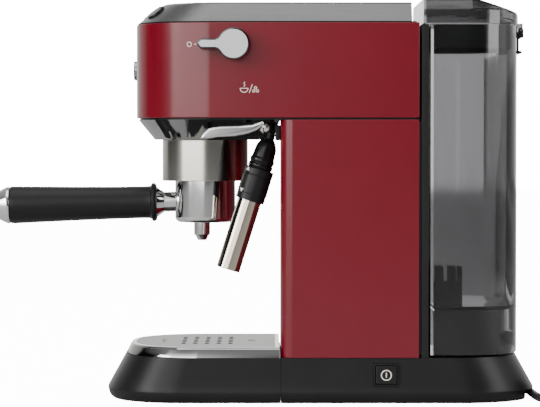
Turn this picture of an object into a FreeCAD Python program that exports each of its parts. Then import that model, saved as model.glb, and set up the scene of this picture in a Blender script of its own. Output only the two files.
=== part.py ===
import FreeCAD, Part
import math
import os

import Sketcher

# Slim pump espresso machine. Millimetres; +Z up, the front faces -Y, the user's right is +X.
# The origin is on the surface it stands on, in the middle of the base from front to back.

DOC = FreeCAD.newDocument("EspressoMachine")
V = FreeCAD.Vector
UP, AHEAD, RIGHT = V(0, 0, 1), V(0, 1, 0), V(1, 0, 0)

# ---------------------------------------------------------------- driving sizes

SIZES = [
    # base
    ("deck_top", 34.5, "height of the base's deck"),
    ("base_half_top", 73.5, "half width of the base at its deck"),
    ("base_half_foot", 75.3, "half width of the base at the floor, before its edge is rounded"),
    ("base_nose_top", 151.0, "reach of the base's front at its deck"),
    ("base_nose_foot", 170.0, "reach of the base's front at the floor, before rounding"),
    ("base_tail_top", 149.0, "reach of the base's back at its deck"),
    ("base_tail_foot", 169.0, "reach of the base's back at the floor, before rounding"),
    ("base_bow", 205.0, "radius of the base's bowed ends"),
    ("base_corner", 55.0, "radius of the base's corners, seen from above"),
    ("foot_round", 6.0, "rounding of the base's lower edge"),
    ("base_wall", 2.5, "wall of the base"),
    ("split", 31.8, "distance of the tray's back from the origin"),
    ("split_gap", 0.4, "gap between the tray and the base"),
    ("floor_plate", 2.0, "thickness of the cover under the base"),
    ("floor_lift", 1.2, "height of that cover above the surface"),
    ("floor_gap", 1.2, "clearance round that cover"),
    ("floor_end", 138.0, "where the cover under the base ends, at the back"),
    ("rubber_foot", 8.0, "radius of a rubber foot"),
    ("screw_shank", 1.8, "radius of a base screw"),
    ("screw_head", 3.4, "radius of a base screw's head"),
    ("cord_notch_top", 7.6, "height of the cord's way out under the back edge"),
    ("hatch_half", 40.0, "half width of the deck's way in to the column"),
    ("hatch_front", 8.0, "distance of that way in's front from the origin"),
    ("hatch_back", 56.0, "distance of that way in's back from the origin"),
    ("post_low", 3.2, "lower end of the posts that hold the base's screws"),
    ("screw_hold", 14.0, "how deep a base screw goes into its post"),
    ("gland_root", 14.0, "distance of the cord clamp's end from the middle plane"),
    ("clamp_long", 8.0, "length of the cord clamp"),
    # column and head
    ("body_half", 74.5, "half width of the column and the head"),
    ("body_back", 72.4, "rear edge of the coloured panels"),
    ("panel", 2.0, "thickness of the coloured panels"),
    ("column_front", 31.5, "distance of the column's front from the origin"),
    ("column_corner", 8.0, "outer radius of the column's front corners"),
    ("seam", 1.4, "dark seam between the column and the head"),
    ("head_bottom", 215.0, "lower edge of the head"),
    ("head_top", 286.5, "upper edge of the head"),
    ("head_nose", 143.0, "reach of the head's front"),
    ("head_bow", 237.0, "radius of the head's bowed front"),
    ("head_corner", 58.0, "radius of the head's front corners"),
    ("frame_wall", 2.5, "wall of the inner frame"),
    ("frame_gap", 0.5, "clearance between a panel and the frame behind it"),
    ("head_floor_thick", 3.4, "thickness of the plate that closes the head below"),
    ("deck_thick", 3.5, "thickness of the plate that closes the head above"),
    ("shadow_gap", 0.9, "gap under the warming plate"),
    ("warmer_high", 14.6, "height of the cup warming plate's sides"),
    ("warmer_side", 7.5, "how far its sides lean in"),
    ("warmer_front", 17.5, "how far its front leans in"),
    ("warmer_back", 67.0, "rear edge of the warming plate"),
    ("warmer_wall", 1.5, "thickness of the warming plate"),
    ("warmer_round", 3.0, "rounding of its upper edge"),
    ("cover_back", 79.6, "rear face of the rear cover"),
    ("cover_plate", 5.4, "thickness of the rear cover's plate"),
    ("cover_gap", 0.8, "gap between the rear cover and the tank's lid"),
    # brew group
    ("group_y", 90.0, "distance of the brew group's axis from the origin"),
    ("sleeve_out", 33.3, "outer radius of the brushed sleeve"),
    ("sleeve_wall", 1.3, "wall of the brushed sleeve"),
    ("sleeve_low", 166.6, "lower edge of the brushed sleeve"),
    ("sleeve_high", 198.4, "upper edge of the brushed sleeve"),
    ("hull_nose", 129.0, "reach of the chrome cover's lower front edge"),
    ("hull_half", 47.0, "half width of the chrome cover's lower face"),
    ("hull_wall", 2.0, "wall of the chrome cover"),
    ("hull_flange", 2.0, "flange that stays above the wand's recess"),
    ("group_boss", 20.0, "radius of the brew head's boss"),
    ("boss_gap", 0.5, "clearance round that boss"),
    ("brew_plate", 4.4, "thickness of the brew head's plate"),
    ("gasket_high", 4.5, "height of the group gasket"),
    ("gasket_in", 22.6, "inner radius of the group gasket"),
    ("gasket_out", 27.4, "outer radius of the group gasket"),
    ("ledge_in", 28.0, "inner radius of the bayonet ledge"),
    ("ledge_low", 179.5, "underside of the bayonet ledge"),
    ("ledge_high", 4.0, "height of the bayonet ledge"),
    ("lug_reach", 30.6, "radius at the end of a bayonet lug"),
    ("lug_high", 3.6, "height of a bayonet lug"),
    ("lug_wide", 17.0, "width of a bayonet lug"),
    ("lug_gap", 0.4, "clearance above and below the ledge"),
    # filter holder
    ("bowl_out", 23.4, "outer radius of the filter holder's lower bowl"),
    ("bowl_low", 134.4, "underside of the bowl"),
    ("bowl_round", 4.2, "rounding of the bowl's lower edge"),
    ("bowl_wall", 1.8, "wall of the bowl"),
    ("bowl_floor", 4.0, "thickness of the bowl's floor"),
    ("cup_out", 27.5, "outer radius of the filter holder's upper cup"),
    ("cup_high", 188.0, "rim of the filter holder"),
    ("cup_step", 167.6, "height at which the bowl widens to the cup"),
    ("basket_gap", 0.2, "clearance of the basket in the cup"),
    ("basket_wall", 0.6, "wall of the filter basket"),
    ("basket_rim", 27.2, "radius of the basket's rim"),
    ("spout_y", 92.5, "distance of the spout's axis from the origin"),
    ("spout_out", 6.3, "radius of the spout"),
    ("spout_tip", 3.3, "radius of the spout's tip"),
    ("spout_bore", 2.2, "radius of the spout's bore"),
    ("spout_low", 120.3, "lower end of the spout"),
    ("spout_taper", 4.6, "height of the spout's taper"),
    ("handle_z", 150.8, "height of the handle's axis at the group's axis"),
    ("handle_tilt", 1.2, "how far the handle drops, in degrees"),
    ("neck_out", 7.7, "radius of the handle's neck"),
    ("neck_end", 37.6, "distance along the handle to the grip"),
    ("neck_wide", 12.0, "radius of the neck's cone at the grip"),
    ("flange_out", 15.0, "radius of the grip's flange"),
    ("flange_long", 4.8, "length of the grip's flange"),
    ("grip_thin", 12.4, "radius of the grip beside its flange"),
    ("grip_thick", 14.6, "radius of the grip at its far end"),
    ("grip_end", 152.0, "distance along the handle to the end cap"),
    ("cap_long", 9.0, "length of the end cap"),
    ("cap_tip", 11.0, "radius of the end cap's face"),
    # steam wand
    ("wand_x", 52.0, "distance of the wand from the middle plane"),
    ("wand_y", 42.6, "distance of the wand's pivot from the origin"),
    ("pivot_low", 203.6, "underside of the wand's pivot"),
    ("pivot_out", 5.4, "radius of the wand's pivot"),
    ("pivot_stem", 3.0, "radius of the wand's hollow stem"),
    ("stem_gap", 0.06, "running clearance of a turning stem"),
    ("arm_top", 3.8, "radius of the wand's arm at the pivot"),
    ("arm_foot", 8.4, "radius of the wand's arm at the collar"),
    ("collar_y", 47.4, "distance of the collar's top from the origin"),
    ("collar_z", 176.6, "height of the collar's top"),
    ("wand_tilt", 17.5, "lean of the wand, in degrees"),
    ("collar_out", 11.25, "radius of the collar"),
    ("collar_long", 25.5, "length of the collar"),
    ("wand_tube", 4.0, "radius of the inner steam tube"),
    ("tube_gap", 0.4, "clearance round the steam tube"),
    ("wand_out", 9.0, "radius of the frothing sleeve"),
    ("wand_wall", 1.2, "wall of the frothing sleeve"),
    ("wand_long", 56.0, "length of the frothing sleeve"),
    # steam knob
    ("knob_y", 66.7, "distance of the steam knob from the origin"),
    ("knob_z", 270.0, "height of the steam knob"),
    ("knob_out", 12.0, "radius of the steam knob"),
    ("knob_gap", 1.3, "gap between the knob and the head"),
    ("knob_thick", 14.0, "thickness of the steam knob"),
    ("knob_reach", 27.0, "reach of its pointer"),
    ("knob_arm", 7.6, "width of its pointer"),
    ("spindle", 3.0, "radius of the valve spindle"),
    ("valve_half", 10.0, "half the width of the steam valve"),
    ("valve_long", 24.0, "length of the steam valve"),
    # buttons
    ("button_out", 7.2, "radius of a push button"),
    ("button_gap", 0.4, "clearance round a push button"),
    ("button_proud", 0.9, "how far a button stands out"),
    ("button_deep", 2.2, "how deep a button's cap sits"),
    ("button_turn", 24.0, "how far the outer buttons face aside, in degrees"),
    ("key_y", 47.7, "distance of the power key from the origin"),
    ("key_z", 21.8, "height of the power key's middle"),
    ("key_wide", 15.9, "width of the power key"),
    ("key_high", 13.7, "height of the power key"),
    ("key_gap", 0.3, "clearance round the power key"),
    ("key_frame", 1.2, "width of the frame round the power key"),
    ("key_face", 76.2, "distance of the key's face from the middle plane"),
    # drip tray
    ("tray_floor", 3.5, "floor of the drip tray"),
    ("rim_nose", 150.2, "reach of the tray's rim at its foot"),
    ("rim_half", 72.9, "half width of the tray's rim at its foot"),
    ("rim_lean", 3.6, "how far the rim leans in"),
    ("rim_high", 7.6, "height of the rim"),
    ("rim_ledge", 6.5, "width of the rim's ledge"),
    ("grate_gap", 0.3, "clearance round the cup grate"),
    ("grate_thick", 1.5, "thickness of the cup grate"),
    ("grate_inset", 3.0, "distance of the grate from the rim's edge"),
    ("slot_wide", 3.4, "width of a slot in the grate"),
    ("slot_long", 9.0, "length of a slot in the grate"),
    ("tongue_wide", 12.0, "width of a tray tongue"),
    ("tongue_x", 44.0, "distance of a tray tongue from the middle plane"),
    ("tongue_low", 6.0, "underside of a tray tongue"),
    ("tongue_high", 8.0, "height of a tray tongue"),
    ("tongue_long", 24.0, "length of a tray tongue"),
    ("tongue_gap", 0.5, "clearance round a tray tongue"),
    ("float_y", 54.0, "distance of the level float from the origin"),
    ("float_out", 7.0, "radius of the level float"),
    ("float_stem", 2.4, "radius of the float's stem"),
    ("float_gap", 0.6, "clearance round the float's stem"),
    # water tank
    ("tank_half", 72.5, "half width of the water tank"),
    ("tank_front", 81.0, "distance of the tank's front from the origin"),
    ("tank_nose", 151.4, "reach of the tank's back"),
    ("tank_bow", 225.0, "radius of the tank's bowed back"),
    ("tank_corner", 41.0, "radius of the tank's rear corners"),
    ("tank_wall", 2.2, "wall of the tank"),
    ("skirt_gap", 2.0, "gap between the tank's skirt and the deck"),
    ("tank_sole", 70.0, "underside of the tank's floor"),
    ("tank_floor", 3.0, "thickness of the tank's floor"),
    ("tank_rim", 285.5, "upper edge of the tank"),
    ("seat_gap", 1.2, "clearance between the tank and its seat"),
    ("outlet_y", 96.9, "distance of the tank's outlet from the origin"),
    ("outlet_out", 6.0, "radius of the outlet valve"),
    ("outlet_flange", 8.5, "radius of the outlet valve's flange"),
    ("filter_out", 13.3, "radius of the filter cup"),
    ("filter_high", 27.0, "height of the filter cup"),
    ("lid_gap", 0.5, "gap between the tank and its lid"),
    ("lid_over", 0.8, "how far the lid stands over the tank"),
    ("lid_front", 75.6, "distance of the lid's front from the origin"),
    ("lid_flat", 116.0, "where the lid's flat top ends"),
    ("lid_top", 304.4, "top of the lid"),
    ("lid_shoulder", 296.2, "height at which the lid's sides start to lean"),
    ("lid_knee_y", 147.0, "where the lid's slope ends"),
    ("lid_knee_z", 295.0, "height of the lid's slope at its end"),
    ("lid_lip", 291.0, "height of the lid's rear lip"),
    ("lid_wall", 2.0, "wall of the lid"),
    ("lid_lean", 5.0, "how far the lid's sides lean in"),
    ("bail_high", 17.5, "height of the tank's carrying band"),
    ("bail_low", 267.5, "underside of the carrying band"),
    ("bail_thick", 2.5, "thickness of the carrying band"),
    ("bail_gap", 0.8, "clearance between the band and the tank's wall"),
    ("hinge_y", 154.4, "distance of the lid's hinge from the origin"),
    ("hinge_z", 283.2, "height of the lid's hinge"),
    ("hinge_out", 1.9, "outer radius of the hinge's knuckles"),
    ("hinge_pin", 0.9, "radius of the hinge pin"),
    ("hinge_half", 13.0, "half the length of the hinge"),
    ("hinge_mid", 8.0, "half the length of the lid's knuckle"),
    # inside
    ("pump_x", 30.0, "distance of the pump from the middle plane"),
    ("pump_y", 18.0, "distance of the pump from the origin"),
    ("pump_out", 16.0, "radius of the pump"),
    ("pump_low", 56.0, "lower end of the pump"),
    ("pump_long", 96.0, "length of the pump"),
    ("mount_out", 20.0, "outer radius of a pump mount"),
    ("hose_out", 3.5, "radius of a water hose"),
    ("hose_bend", 12.0, "radius of a hose's bends"),
    ("block_half", 37.0, "half width of the heater block"),
    ("block_high", 34.0, "height of the heater block"),
    # mains cord
    ("cord_out", 3.2, "radius of the mains cord"),
    ("coil_turn", 35.0, "radius of the coil at the middle of its turns"),
    ("coil_x", 47.6, "distance of the coil from the middle plane"),
    ("coil_y", 218.1, "distance of the coil from the origin"),
    ("coil_band", 4.0, "turns of the coil beside each other"),
    ("coil_layers", 2.0, "turns of the coil on each other"),
]


class Size:
    """A number that knows which sheet formula gives it."""

    def __init__(self, number, formula):
        self.number = float(number)
        self.formula = formula

    def __add__(self, other):
        return Size(self.number + amount(other), f"({self.formula} + {written(other)})")

    def __sub__(self, other):
        return Size(self.number - amount(other), f"({self.formula} - {written(other)})")

    def __rsub__(self, other):
        return Size(amount(other) - self.number, f"({written(other)} - {self.formula})")

    def __mul__(self, other):
        return Size(self.number * amount(other), f"({self.formula} * {written(other)})")

    def __truediv__(self, other):
        return Size(self.number / amount(other), f"({self.formula} / {written(other)})")

    def __neg__(self):
        return Size(-self.number, f"(-1 * {self.formula})")

    __radd__ = __add__
    __rmul__ = __mul__


def amount(size):
    return size.number if isinstance(size, Size) else float(size)


def written(size):
    return size.formula if isinstance(size, Size) else f"({float(size)})"


def root(size):
    return Size(math.sqrt(size.number), f"sqrt({size.formula})")


def sine(degrees):
    return Size(math.sin(math.radians(amount(degrees))), f"sin({written(degrees)} * 1 deg)")


def cosine(degrees):
    return Size(math.cos(math.radians(amount(degrees))), f"cos({written(degrees)} * 1 deg)")


class Sheet:
    """The document's spreadsheet, with one attribute for each driving size."""

    def __init__(self):
        self.cells = DOC.addObject("Spreadsheet::Sheet", "Sizes")
        for row, (name, number, meaning) in enumerate(SIZES, start=1):
            self.cells.set(f"A{row}", meaning)
            self.cells.set(f"B{row}", str(number))
            self.cells.setAlias(f"B{row}", name)
            setattr(self, name, Size(number, f"Sizes.{name}"))
        DOC.recompute()


S = Sheet()

# ---------------------------------------------------------------- ways of making


def bind(thing, path, size):
    thing.setExpression(path, written(size))


def place(thing, at, axis=None, angle=0):
    """Put an object at a point, turned about an axis."""
    turn = FreeCAD.Rotation(axis or UP, amount(angle))
    thing.Placement = FreeCAD.Placement(V(*map(amount, at)), turn)
    for letter, size in zip("xyz", at):
        bind(thing, f".Placement.Base.{letter}", size)
    if isinstance(angle, Size):
        bind(thing, ".Placement.Rotation.Angle", angle)
    return thing


def new_body(label):
    made = DOC.addObject("PartDesign::Body", label)
    made.Label = label
    return made


def line(start, end):
    return ("line", start, end)


def arc(start, end, centre, radius, turns_left):
    """An arc of a circle; an upright half circle is held by its middle and has no radius."""
    return ("arc", start, end, centre, radius, turns_left)


def polygon(*corners):
    return [line(a, b) for a, b in zip(corners, corners[1:] + corners[:1])]


def circle(x, y, radius):
    return ("circle", x, y, radius)


def rectangle(left, right, low, high):
    return polygon((left, low), (right, low), (right, high), (left, high))


def fix_point(sketch, geometry, end, point):
    """Hold one end of a line or arc at a place given by the sheet."""
    for kind, size in zip(("DistanceX", "DistanceY"), point):
        rule = Sketcher.Constraint(kind, -1, 1, geometry, end, amount(size))
        number = sketch.addConstraint(rule)
        bind(sketch, f"Constraints[{number}]", size)


def add_circle(sketch, x, y, radius):
    middle = V(amount(x), amount(y), 0)
    made = sketch.addGeometry(Part.Circle(middle, UP, amount(radius)), False)
    fix_point(sketch, made, 3, (x, y))
    number = sketch.addConstraint(Sketcher.Constraint("Radius", made, amount(radius)))
    bind(sketch, f"Constraints[{number}]", radius)


def add_edge(sketch, edge):
    """Add a line or an arc; returns its number and which of its ends comes first."""
    start, end = (V(amount(p[0]), amount(p[1]), 0) for p in edge[1:3])
    if edge[0] == "line":
        return sketch.addGeometry(Part.LineSegment(start, end), False), 1
    middle, _, turns_left = edge[3:]
    middle = V(amount(middle[0]), amount(middle[1]), 0)
    first, last = (start, end) if turns_left else (end, start)
    angles = [math.atan2((p - middle).y, (p - middle).x) for p in (first, last)]
    ring = Part.Circle(middle, UP, (start - middle).Length)
    made = sketch.addGeometry(Part.ArcOfCircle(ring, *angles), False)
    return made, 1 if turns_left else 2


def add_loop(sketch, loop):
    made = [add_edge(sketch, edge) for edge in loop]
    for (geometry, first), edge in zip(made, loop):
        fix_point(sketch, geometry, first, edge[1])
    for (geometry, first), (after, after_first) in zip(made, made[1:] + made[:1]):
        joint = Sketcher.Constraint("Coincident", geometry, 3 - first, after, after_first)
        sketch.addConstraint(joint)
    for (geometry, _), edge in zip(made, loop):
        if edge[0] == "arc" and edge[4] is None:
            rule = Sketcher.Constraint("DistanceX", -1, 1, geometry, 3, amount(edge[3][0]))
            bind(sketch, f"Constraints[{sketch.addConstraint(rule)}]", edge[3][0])
        elif edge[0] == "arc":
            number = sketch.addConstraint(Sketcher.Constraint("Radius", geometry, amount(edge[4])))
            bind(sketch, f"Constraints[{number}]", edge[4])


def sketch_on(owner, role, loops, lift=0):
    """A sketch on one of the body's own planes, moved along the plane's normal."""
    plane = next(f for f in owner.Origin.OriginFeatures if f.Role == role)
    sketch = owner.newObject("Sketcher::SketchObject", f"{owner.Label}_sketch")
    sketch.AttachmentSupport = [(plane, "")]
    sketch.MapMode = "FlatFace"
    bind(sketch, ".AttachmentOffset.Base.z", lift)
    for loop in loops:
        if loop[0] == "circle":
            add_circle(sketch, *loop[1:])
        else:
            add_loop(sketch, loop)
    return sketch


def feature(owner, kind, **settings):
    made = owner.newObject(f"PartDesign::{kind}", f"{owner.Label}_{kind.lower()}")
    for name, setting in settings.items():
        setattr(made, name, setting)
    return made


def pad(owner, loops, length, role="XY_Plane", lift=0, both=False, back=False):
    profile = sketch_on(owner, role, loops, lift)
    made = feature(owner, "Pad", Profile=profile, Midplane=both, Reversed=back)
    bind(made, "Length", length)
    return made


def pocket(owner, loops, length, role="XY_Plane", lift=0, both=False, back=False):
    """Cut along the plane's normal, or against it when back is set."""
    profile = sketch_on(owner, role, loops, lift)
    made = feature(owner, "Pocket", Profile=profile, Midplane=both, Reversed=not back)
    bind(made, "Length", length)
    return made


def loft(owner, low, high, floor, top, cut=False):
    """A ruled solid between two plans, added to the body or cut out of it."""
    profile = sketch_on(owner, "XY_Plane", [low], floor)
    section = sketch_on(owner, "XY_Plane", [high], top)
    kind = "SubtractiveLoft" if cut else "AdditiveLoft"
    return feature(owner, kind, Profile=profile, Sections=[section], Ruled=True)


def turned(label, profile, at=(0, 0, 0), axis=None, angle=0):
    """A body of revolution: the profile gives radius and height."""
    made = new_body(label)
    sketch = sketch_on(made, "XZ_Plane", [polygon(*profile)])
    feature(made, "Revolution", Profile=sketch, ReferenceAxis=(sketch, ["V_Axis"]), Angle=360)
    return place(made, at, axis, angle)


def edges_where(shape, wanted):
    return [f"Edge{n}" for n, edge in enumerate(shape.Edges, start=1) if wanted(edge)]


def soften(owner, radius, wanted, kind="Fillet"):
    """Round or chamfer the edges that a test picks."""
    DOC.recompute()
    base = owner.Tip
    names = edges_where(base.Shape, wanted)
    if not names:
        raise ValueError(f"{owner.Label} has no edge to soften")
    made = feature(owner, kind, Base=(base, names))
    bind(made, "Radius" if kind == "Fillet" else "Size", radius)
    return made


def upright(edge):
    box = edge.BoundBox
    return box.ZLength > 1 and box.XLength < 0.01 and box.YLength < 0.01


def level_at(height):
    """A test for edges that lie in the plane at a height."""
    at = amount(height)
    return lambda edge: abs(edge.BoundBox.ZMin - at) < 0.01 and abs(edge.BoundBox.ZMax - at) < 0.01


def primitive(kind, label, at, sizes, axis=None, angle=0):
    made = DOC.addObject(f"Part::{kind}", label)
    for name, size in sizes.items():
        bind(made, name, size)
    return place(made, at, axis, angle)


def block(label, low, high):
    sizes = {name: b - a for name, a, b in zip(("Length", "Width", "Height"), low, high)}
    return primitive("Box", label, low, sizes)


def rod(label, radius, length, at, axis=None, angle=0):
    return primitive("Cylinder", label, at, {"Radius": radius, "Height": length}, axis, angle)


def cut(label, base, *tools):
    for number, tool in enumerate(tools):
        made = DOC.addObject("Part::Cut", label if number == len(tools) - 1 else f"{label}_cut")
        made.Base, made.Tool = base, tool
        base = made
    made.Label = label
    return made


def joined(label, *pieces):
    made = DOC.addObject("Part::MultiFuse", label)
    made.Shapes = list(pieces)
    made.Label = label
    return made


def shared(label, base, tool):
    made = DOC.addObject("Part::Common", label)
    made.Base, made.Tool = base, tool
    return made


class Plan:
    """Seen from above: straight sides, a straight end, and a bowed end with round corners."""

    def __init__(self, half, straight, nose, bow, corner, way):
        self.half, self.straight, self.nose = half, straight, nose
        self.bow, self.corner, self.way = bow, corner, way

    def inset(self, gap, end=0):
        """The same plan drawn in by a gap, with its straight end drawn in by another."""
        return Plan(
            self.half - gap,
            self.straight + self.way * end,
            self.nose - self.way * gap,
            self.bow - gap,
            self.corner - gap,
            self.way,
        )

    def bend(self):
        """How a round corner meets the bow: its direction, and its middle's distance from the bow's."""
        reach = self.bow - self.corner
        side = (self.half - self.corner) / reach
        along = root(1 - side * side)
        return side, along, reach

    def corner_middle(self):
        side, along, reach = self.bend()
        return self.half - self.corner, self.nose - self.way * (self.bow - reach * along)

    def loop(self):
        side, along, reach = self.bend()
        bow_y = self.nose - self.way * self.bow
        corner_x, corner_y = self.corner_middle()
        meet_x, meet_y = self.bow * side, bow_y + self.way * self.bow * along
        left = self.way > 0
        right_back, left_back = (self.half, self.straight), (-self.half, self.straight)
        right_side, left_side = (self.half, corner_y), (-self.half, corner_y)
        right_meet, left_meet = (meet_x, meet_y), (-meet_x, meet_y)
        return [
            line(left_back, right_back),
            line(right_back, right_side),
            arc(right_side, right_meet, (corner_x, corner_y), self.corner, left),
            arc(right_meet, left_meet, (0, bow_y), self.bow, left),
            arc(left_meet, left_side, (-corner_x, corner_y), self.corner, left),
            line(left_side, left_back),
        ]


HEAD = Plan(S.body_half, S.body_back, -S.head_nose, S.head_bow, S.head_corner, -1)
TANK = Plan(S.tank_half, S.tank_front, S.tank_nose, S.tank_bow, S.tank_corner, 1)
TRAY_TOP = Plan(S.base_half_top, -S.split, -S.base_nose_top, S.base_bow, S.base_corner, -1)
TRAY_FOOT = Plan(S.base_half_foot, -S.split, -S.base_nose_foot, S.base_bow, S.base_corner, -1)
BASE_START = -S.split + S.split_gap
BASE_TOP = Plan(S.base_half_top, BASE_START, S.base_tail_top, S.base_bow, S.base_corner, 1)
BASE_FOOT = Plan(S.base_half_foot, BASE_START, S.base_tail_foot, S.base_bow, S.base_corner, 1)

COLUMN_TOP = S.head_bottom - S.seam
HEAD_FLOOR_TOP = COLUMN_TOP + S.head_floor_thick
WARMER_LOW = S.head_top + S.shadow_gap
TANK_INSIDE = S.tank_sole + S.tank_floor
TANK_SKIRT = S.deck_top + S.skirt_gap

# ---------------------------------------------------------------- base


def screw_places():
    """Screws near the corners of the cover under the base, as x and y."""
    across = S.base_half_top - 17
    return [(x, y) for x in (-across, across) for y in (-S.split + 14, S.floor_end - 26)]


def foot_places():
    across = S.base_half_top - 19
    return [(x, y) for x in (-across, across) for y in (-S.split + 34, S.floor_end - 48)]


def widest(foot, top):
    """Plan of the base at its widest, where the rounding of its lower edge begins."""
    share = S.foot_round * 1.4 / S.deck_top
    half = foot.half + (top.half - foot.half) * share
    nose = foot.nose + (top.nose - foot.nose) * share
    return Plan(half, foot.straight, nose, foot.bow, foot.corner, foot.way)


def skirt(made, foot, top):
    """The base's flared outside, with its lower edge turned in."""
    wide, height = widest(foot, top), S.foot_round * 1.4
    knee, low = wide.inset(S.foot_round * 0.22), wide.inset(S.foot_round * 0.75)
    loft(made, low.loop(), knee.loop(), 0, S.foot_round * 0.4)
    loft(made, knee.loop(), wide.loop(), S.foot_round * 0.4, height)
    loft(made, wide.loop(), top.loop(), height, S.deck_top)


def base_housing():
    made = new_body("base_housing_shell")
    skirt(made, BASE_FOOT, BASE_TOP)
    wall = S.base_wall
    low = widest(BASE_FOOT, BASE_TOP).inset(S.foot_round * 0.75 + wall, wall)
    high = BASE_TOP.inset(wall, wall)
    loft(made, low.loop(), high.loop(), 0, S.deck_top - wall, cut=True)
    way_in = rectangle(-S.hatch_half, S.hatch_half, -S.hatch_front, S.hatch_back)
    pocket(made, [way_in, circle(0, S.outlet_y, S.outlet_out)], wall * 2, lift=S.deck_top - wall * 1.5)
    half = S.tongue_wide / 2 + S.tongue_gap
    low_z, high_z = S.tongue_low - S.tongue_gap, S.tongue_low + S.tongue_high + S.tongue_gap
    slots = [rectangle(x - half, x + half, low_z, high_z) for x in (-S.tongue_x, S.tongue_x)]
    pocket(made, slots, wall * 3, role="XZ_Plane", lift=S.split + wall, back=True)
    reach = S.key_wide / 2 + S.key_frame + S.key_gap
    rise = S.key_high / 2 + S.key_frame + S.key_gap
    gap = rectangle(S.key_y - reach, S.key_y + reach, S.key_z - rise, S.key_z + rise)
    pocket(made, [gap], 16, role="YZ_Plane", lift=S.base_half_top - 8)
    # the cord leaves under the back edge, towards the right, out of a clamp inside the wall
    back, top, root_x = S.base_tail_foot + 5, S.cord_notch_top, -S.gland_root
    clamp = block("cord_clamp", (root_x - S.clamp_long, S.base_tail_top + 1, S.foot_round * 0.45),
                  (root_x, S.base_tail_foot - 7.6, S.deck_top - wall / 2))
    bay = block("gland_bay", (root_x, S.base_tail_top + 1, -1), (10, back, top + 3))
    channel = block("cord_channel", (8, S.base_tail_top + 6, -1), (S.base_half_foot, back, top))
    posts = [rod(f"base_post_{n}", S.screw_head + 1, S.deck_top - wall - S.post_low, (x, y, S.post_low))
             for n, (x, y) in enumerate(screw_places())]
    depth = S.screw_hold + S.screw_head + S.floor_plate
    holes = [rod(f"base_bore_{n}", S.screw_shank, depth, (x, y, S.floor_lift + 1))
             for n, (x, y) in enumerate(screw_places())]
    return cut("base_housing", joined("base_with_posts", made, clamp, *posts), bay, channel, *holes)


def base_floor():
    """Cover under the base: the base's inner plan, cut off before the cord's way out."""
    made = new_body("base_floor")
    gap = S.base_wall + S.floor_gap
    inside = widest(BASE_FOOT, BASE_TOP).inset(S.foot_round * 0.75 + gap, gap)
    holes = [circle(x, y, S.screw_shank + 0.2) for x, y in screw_places()]
    pad(made, [inside.loop(), *holes], S.floor_plate, lift=S.floor_lift)
    beyond = rectangle(-S.base_half_foot, S.base_half_foot, S.floor_end, S.base_tail_foot)
    pocket(made, [beyond], S.floor_plate + 2, lift=S.floor_lift - 1)
    return made


def rubber_feet():
    made = new_body("rubber_feet")
    pad(made, [circle(x, y, S.rubber_foot) for x, y in foot_places()], S.floor_lift)
    return made


def base_screws():
    made = new_body("base_screws")
    heads = [circle(x, y, S.screw_head) for x, y in screw_places()]
    shanks = [circle(x, y, S.screw_shank) for x, y in screw_places()]
    pad(made, heads, S.floor_lift - 0.4, lift=0.4)
    pad(made, shanks, S.screw_hold, lift=S.floor_lift)
    return made


# ---------------------------------------------------------------- column and head


def column_shell():
    made = new_body("column_shell")
    half, back, front, wall = S.body_half, S.body_back, -S.column_front, S.panel
    outline = polygon(
        (half, back), (half, front), (-half, front), (-half, back),
        (wall - half, back), (wall - half, front + wall), (half - wall, front + wall), (half - wall, back),
    )
    pad(made, [outline], COLUMN_TOP - S.deck_top, lift=S.deck_top)
    outer, inner = amount(front), amount(front + wall)
    soften(made, S.column_corner, lambda e: upright(e) and abs(e.BoundBox.YMin - outer) < 0.01)
    soften(made, S.column_corner - wall, lambda e: upright(e) and abs(e.BoundBox.YMin - inner) < 0.01)
    return made


def column_frame():
    made = new_body("column_frame")
    half = S.body_half - S.panel - S.frame_gap
    front, back, wall = -S.column_front + S.panel + S.frame_gap, S.body_back - 4, S.frame_wall
    corner = S.column_corner - S.panel
    outline = polygon(
        (half, back), (half, front + corner), (half - corner, front), (corner - half, front),
        (-half, front + corner), (-half, back), (wall - half, back), (wall - half, front + corner + 1),
        (corner - half + 1, front + wall), (half - corner - 1, front + wall),
        (half - wall, front + corner + 1), (half - wall, back),
    )
    pad(made, [outline], COLUMN_TOP - S.deck_top, lift=S.deck_top)
    posts = [circle(x, z, 3) for x in (-44, 44) for z in (80, 180)]
    pad(made, posts, 9.5, role="XZ_Plane", lift=-(front + wall) + 0.5, back=True)
    # a rib behind the pump carries its rubber mounts
    rib_y = S.pump_y + S.mount_out
    rib = rectangle(-half + wall - 0.5, -S.pump_x + 22, rib_y, rib_y + 3)
    pad(made, [rib], S.pump_low + S.pump_long - S.deck_top, lift=S.deck_top)
    return made


def head_shell():
    made = new_body("head_band")
    pad(made, [HEAD.loop()], S.head_top - S.head_bottom, lift=S.head_bottom)
    inside = HEAD.inset(S.panel, -2)
    pocket(made, [inside.loop()], S.head_top - S.head_bottom + 2, lift=S.head_bottom - 1)
    way = rod("spindle_way", S.spindle + 0.5, 20, (S.body_half - 10, -S.knob_y, S.knob_z), AHEAD, 90)
    return cut("head_shell", made, way)


def head_floor():
    made = new_body("head_floor")
    inside = HEAD.inset(S.panel + S.frame_gap, S.panel)
    holes = [
        circle(0, -S.group_y, S.group_boss + S.boss_gap),
        circle(S.wand_x, -S.wand_y, S.pivot_stem + S.stem_gap),
        rectangle(-55, 55, -10, 58),
    ]
    pad(made, [inside.loop(), *holes], S.head_floor_thick, lift=COLUMN_TOP)
    return made


def head_deck():
    made = new_body("head_deck")
    inside = HEAD.inset(S.panel + S.frame_gap, S.panel)
    well = inside.inset(12, 12)
    pad(made, [inside.loop()], S.deck_thick + S.shadow_gap, lift=S.head_top - S.deck_thick)
    pocket(made, [well.loop()], 2, lift=WARMER_LOW - 1)
    return made


def warmer_low_plan():
    return Plan(S.body_half - 0.6, S.warmer_back, -S.head_nose + 1, S.head_bow - 1, S.head_corner - 1, -1)


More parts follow.
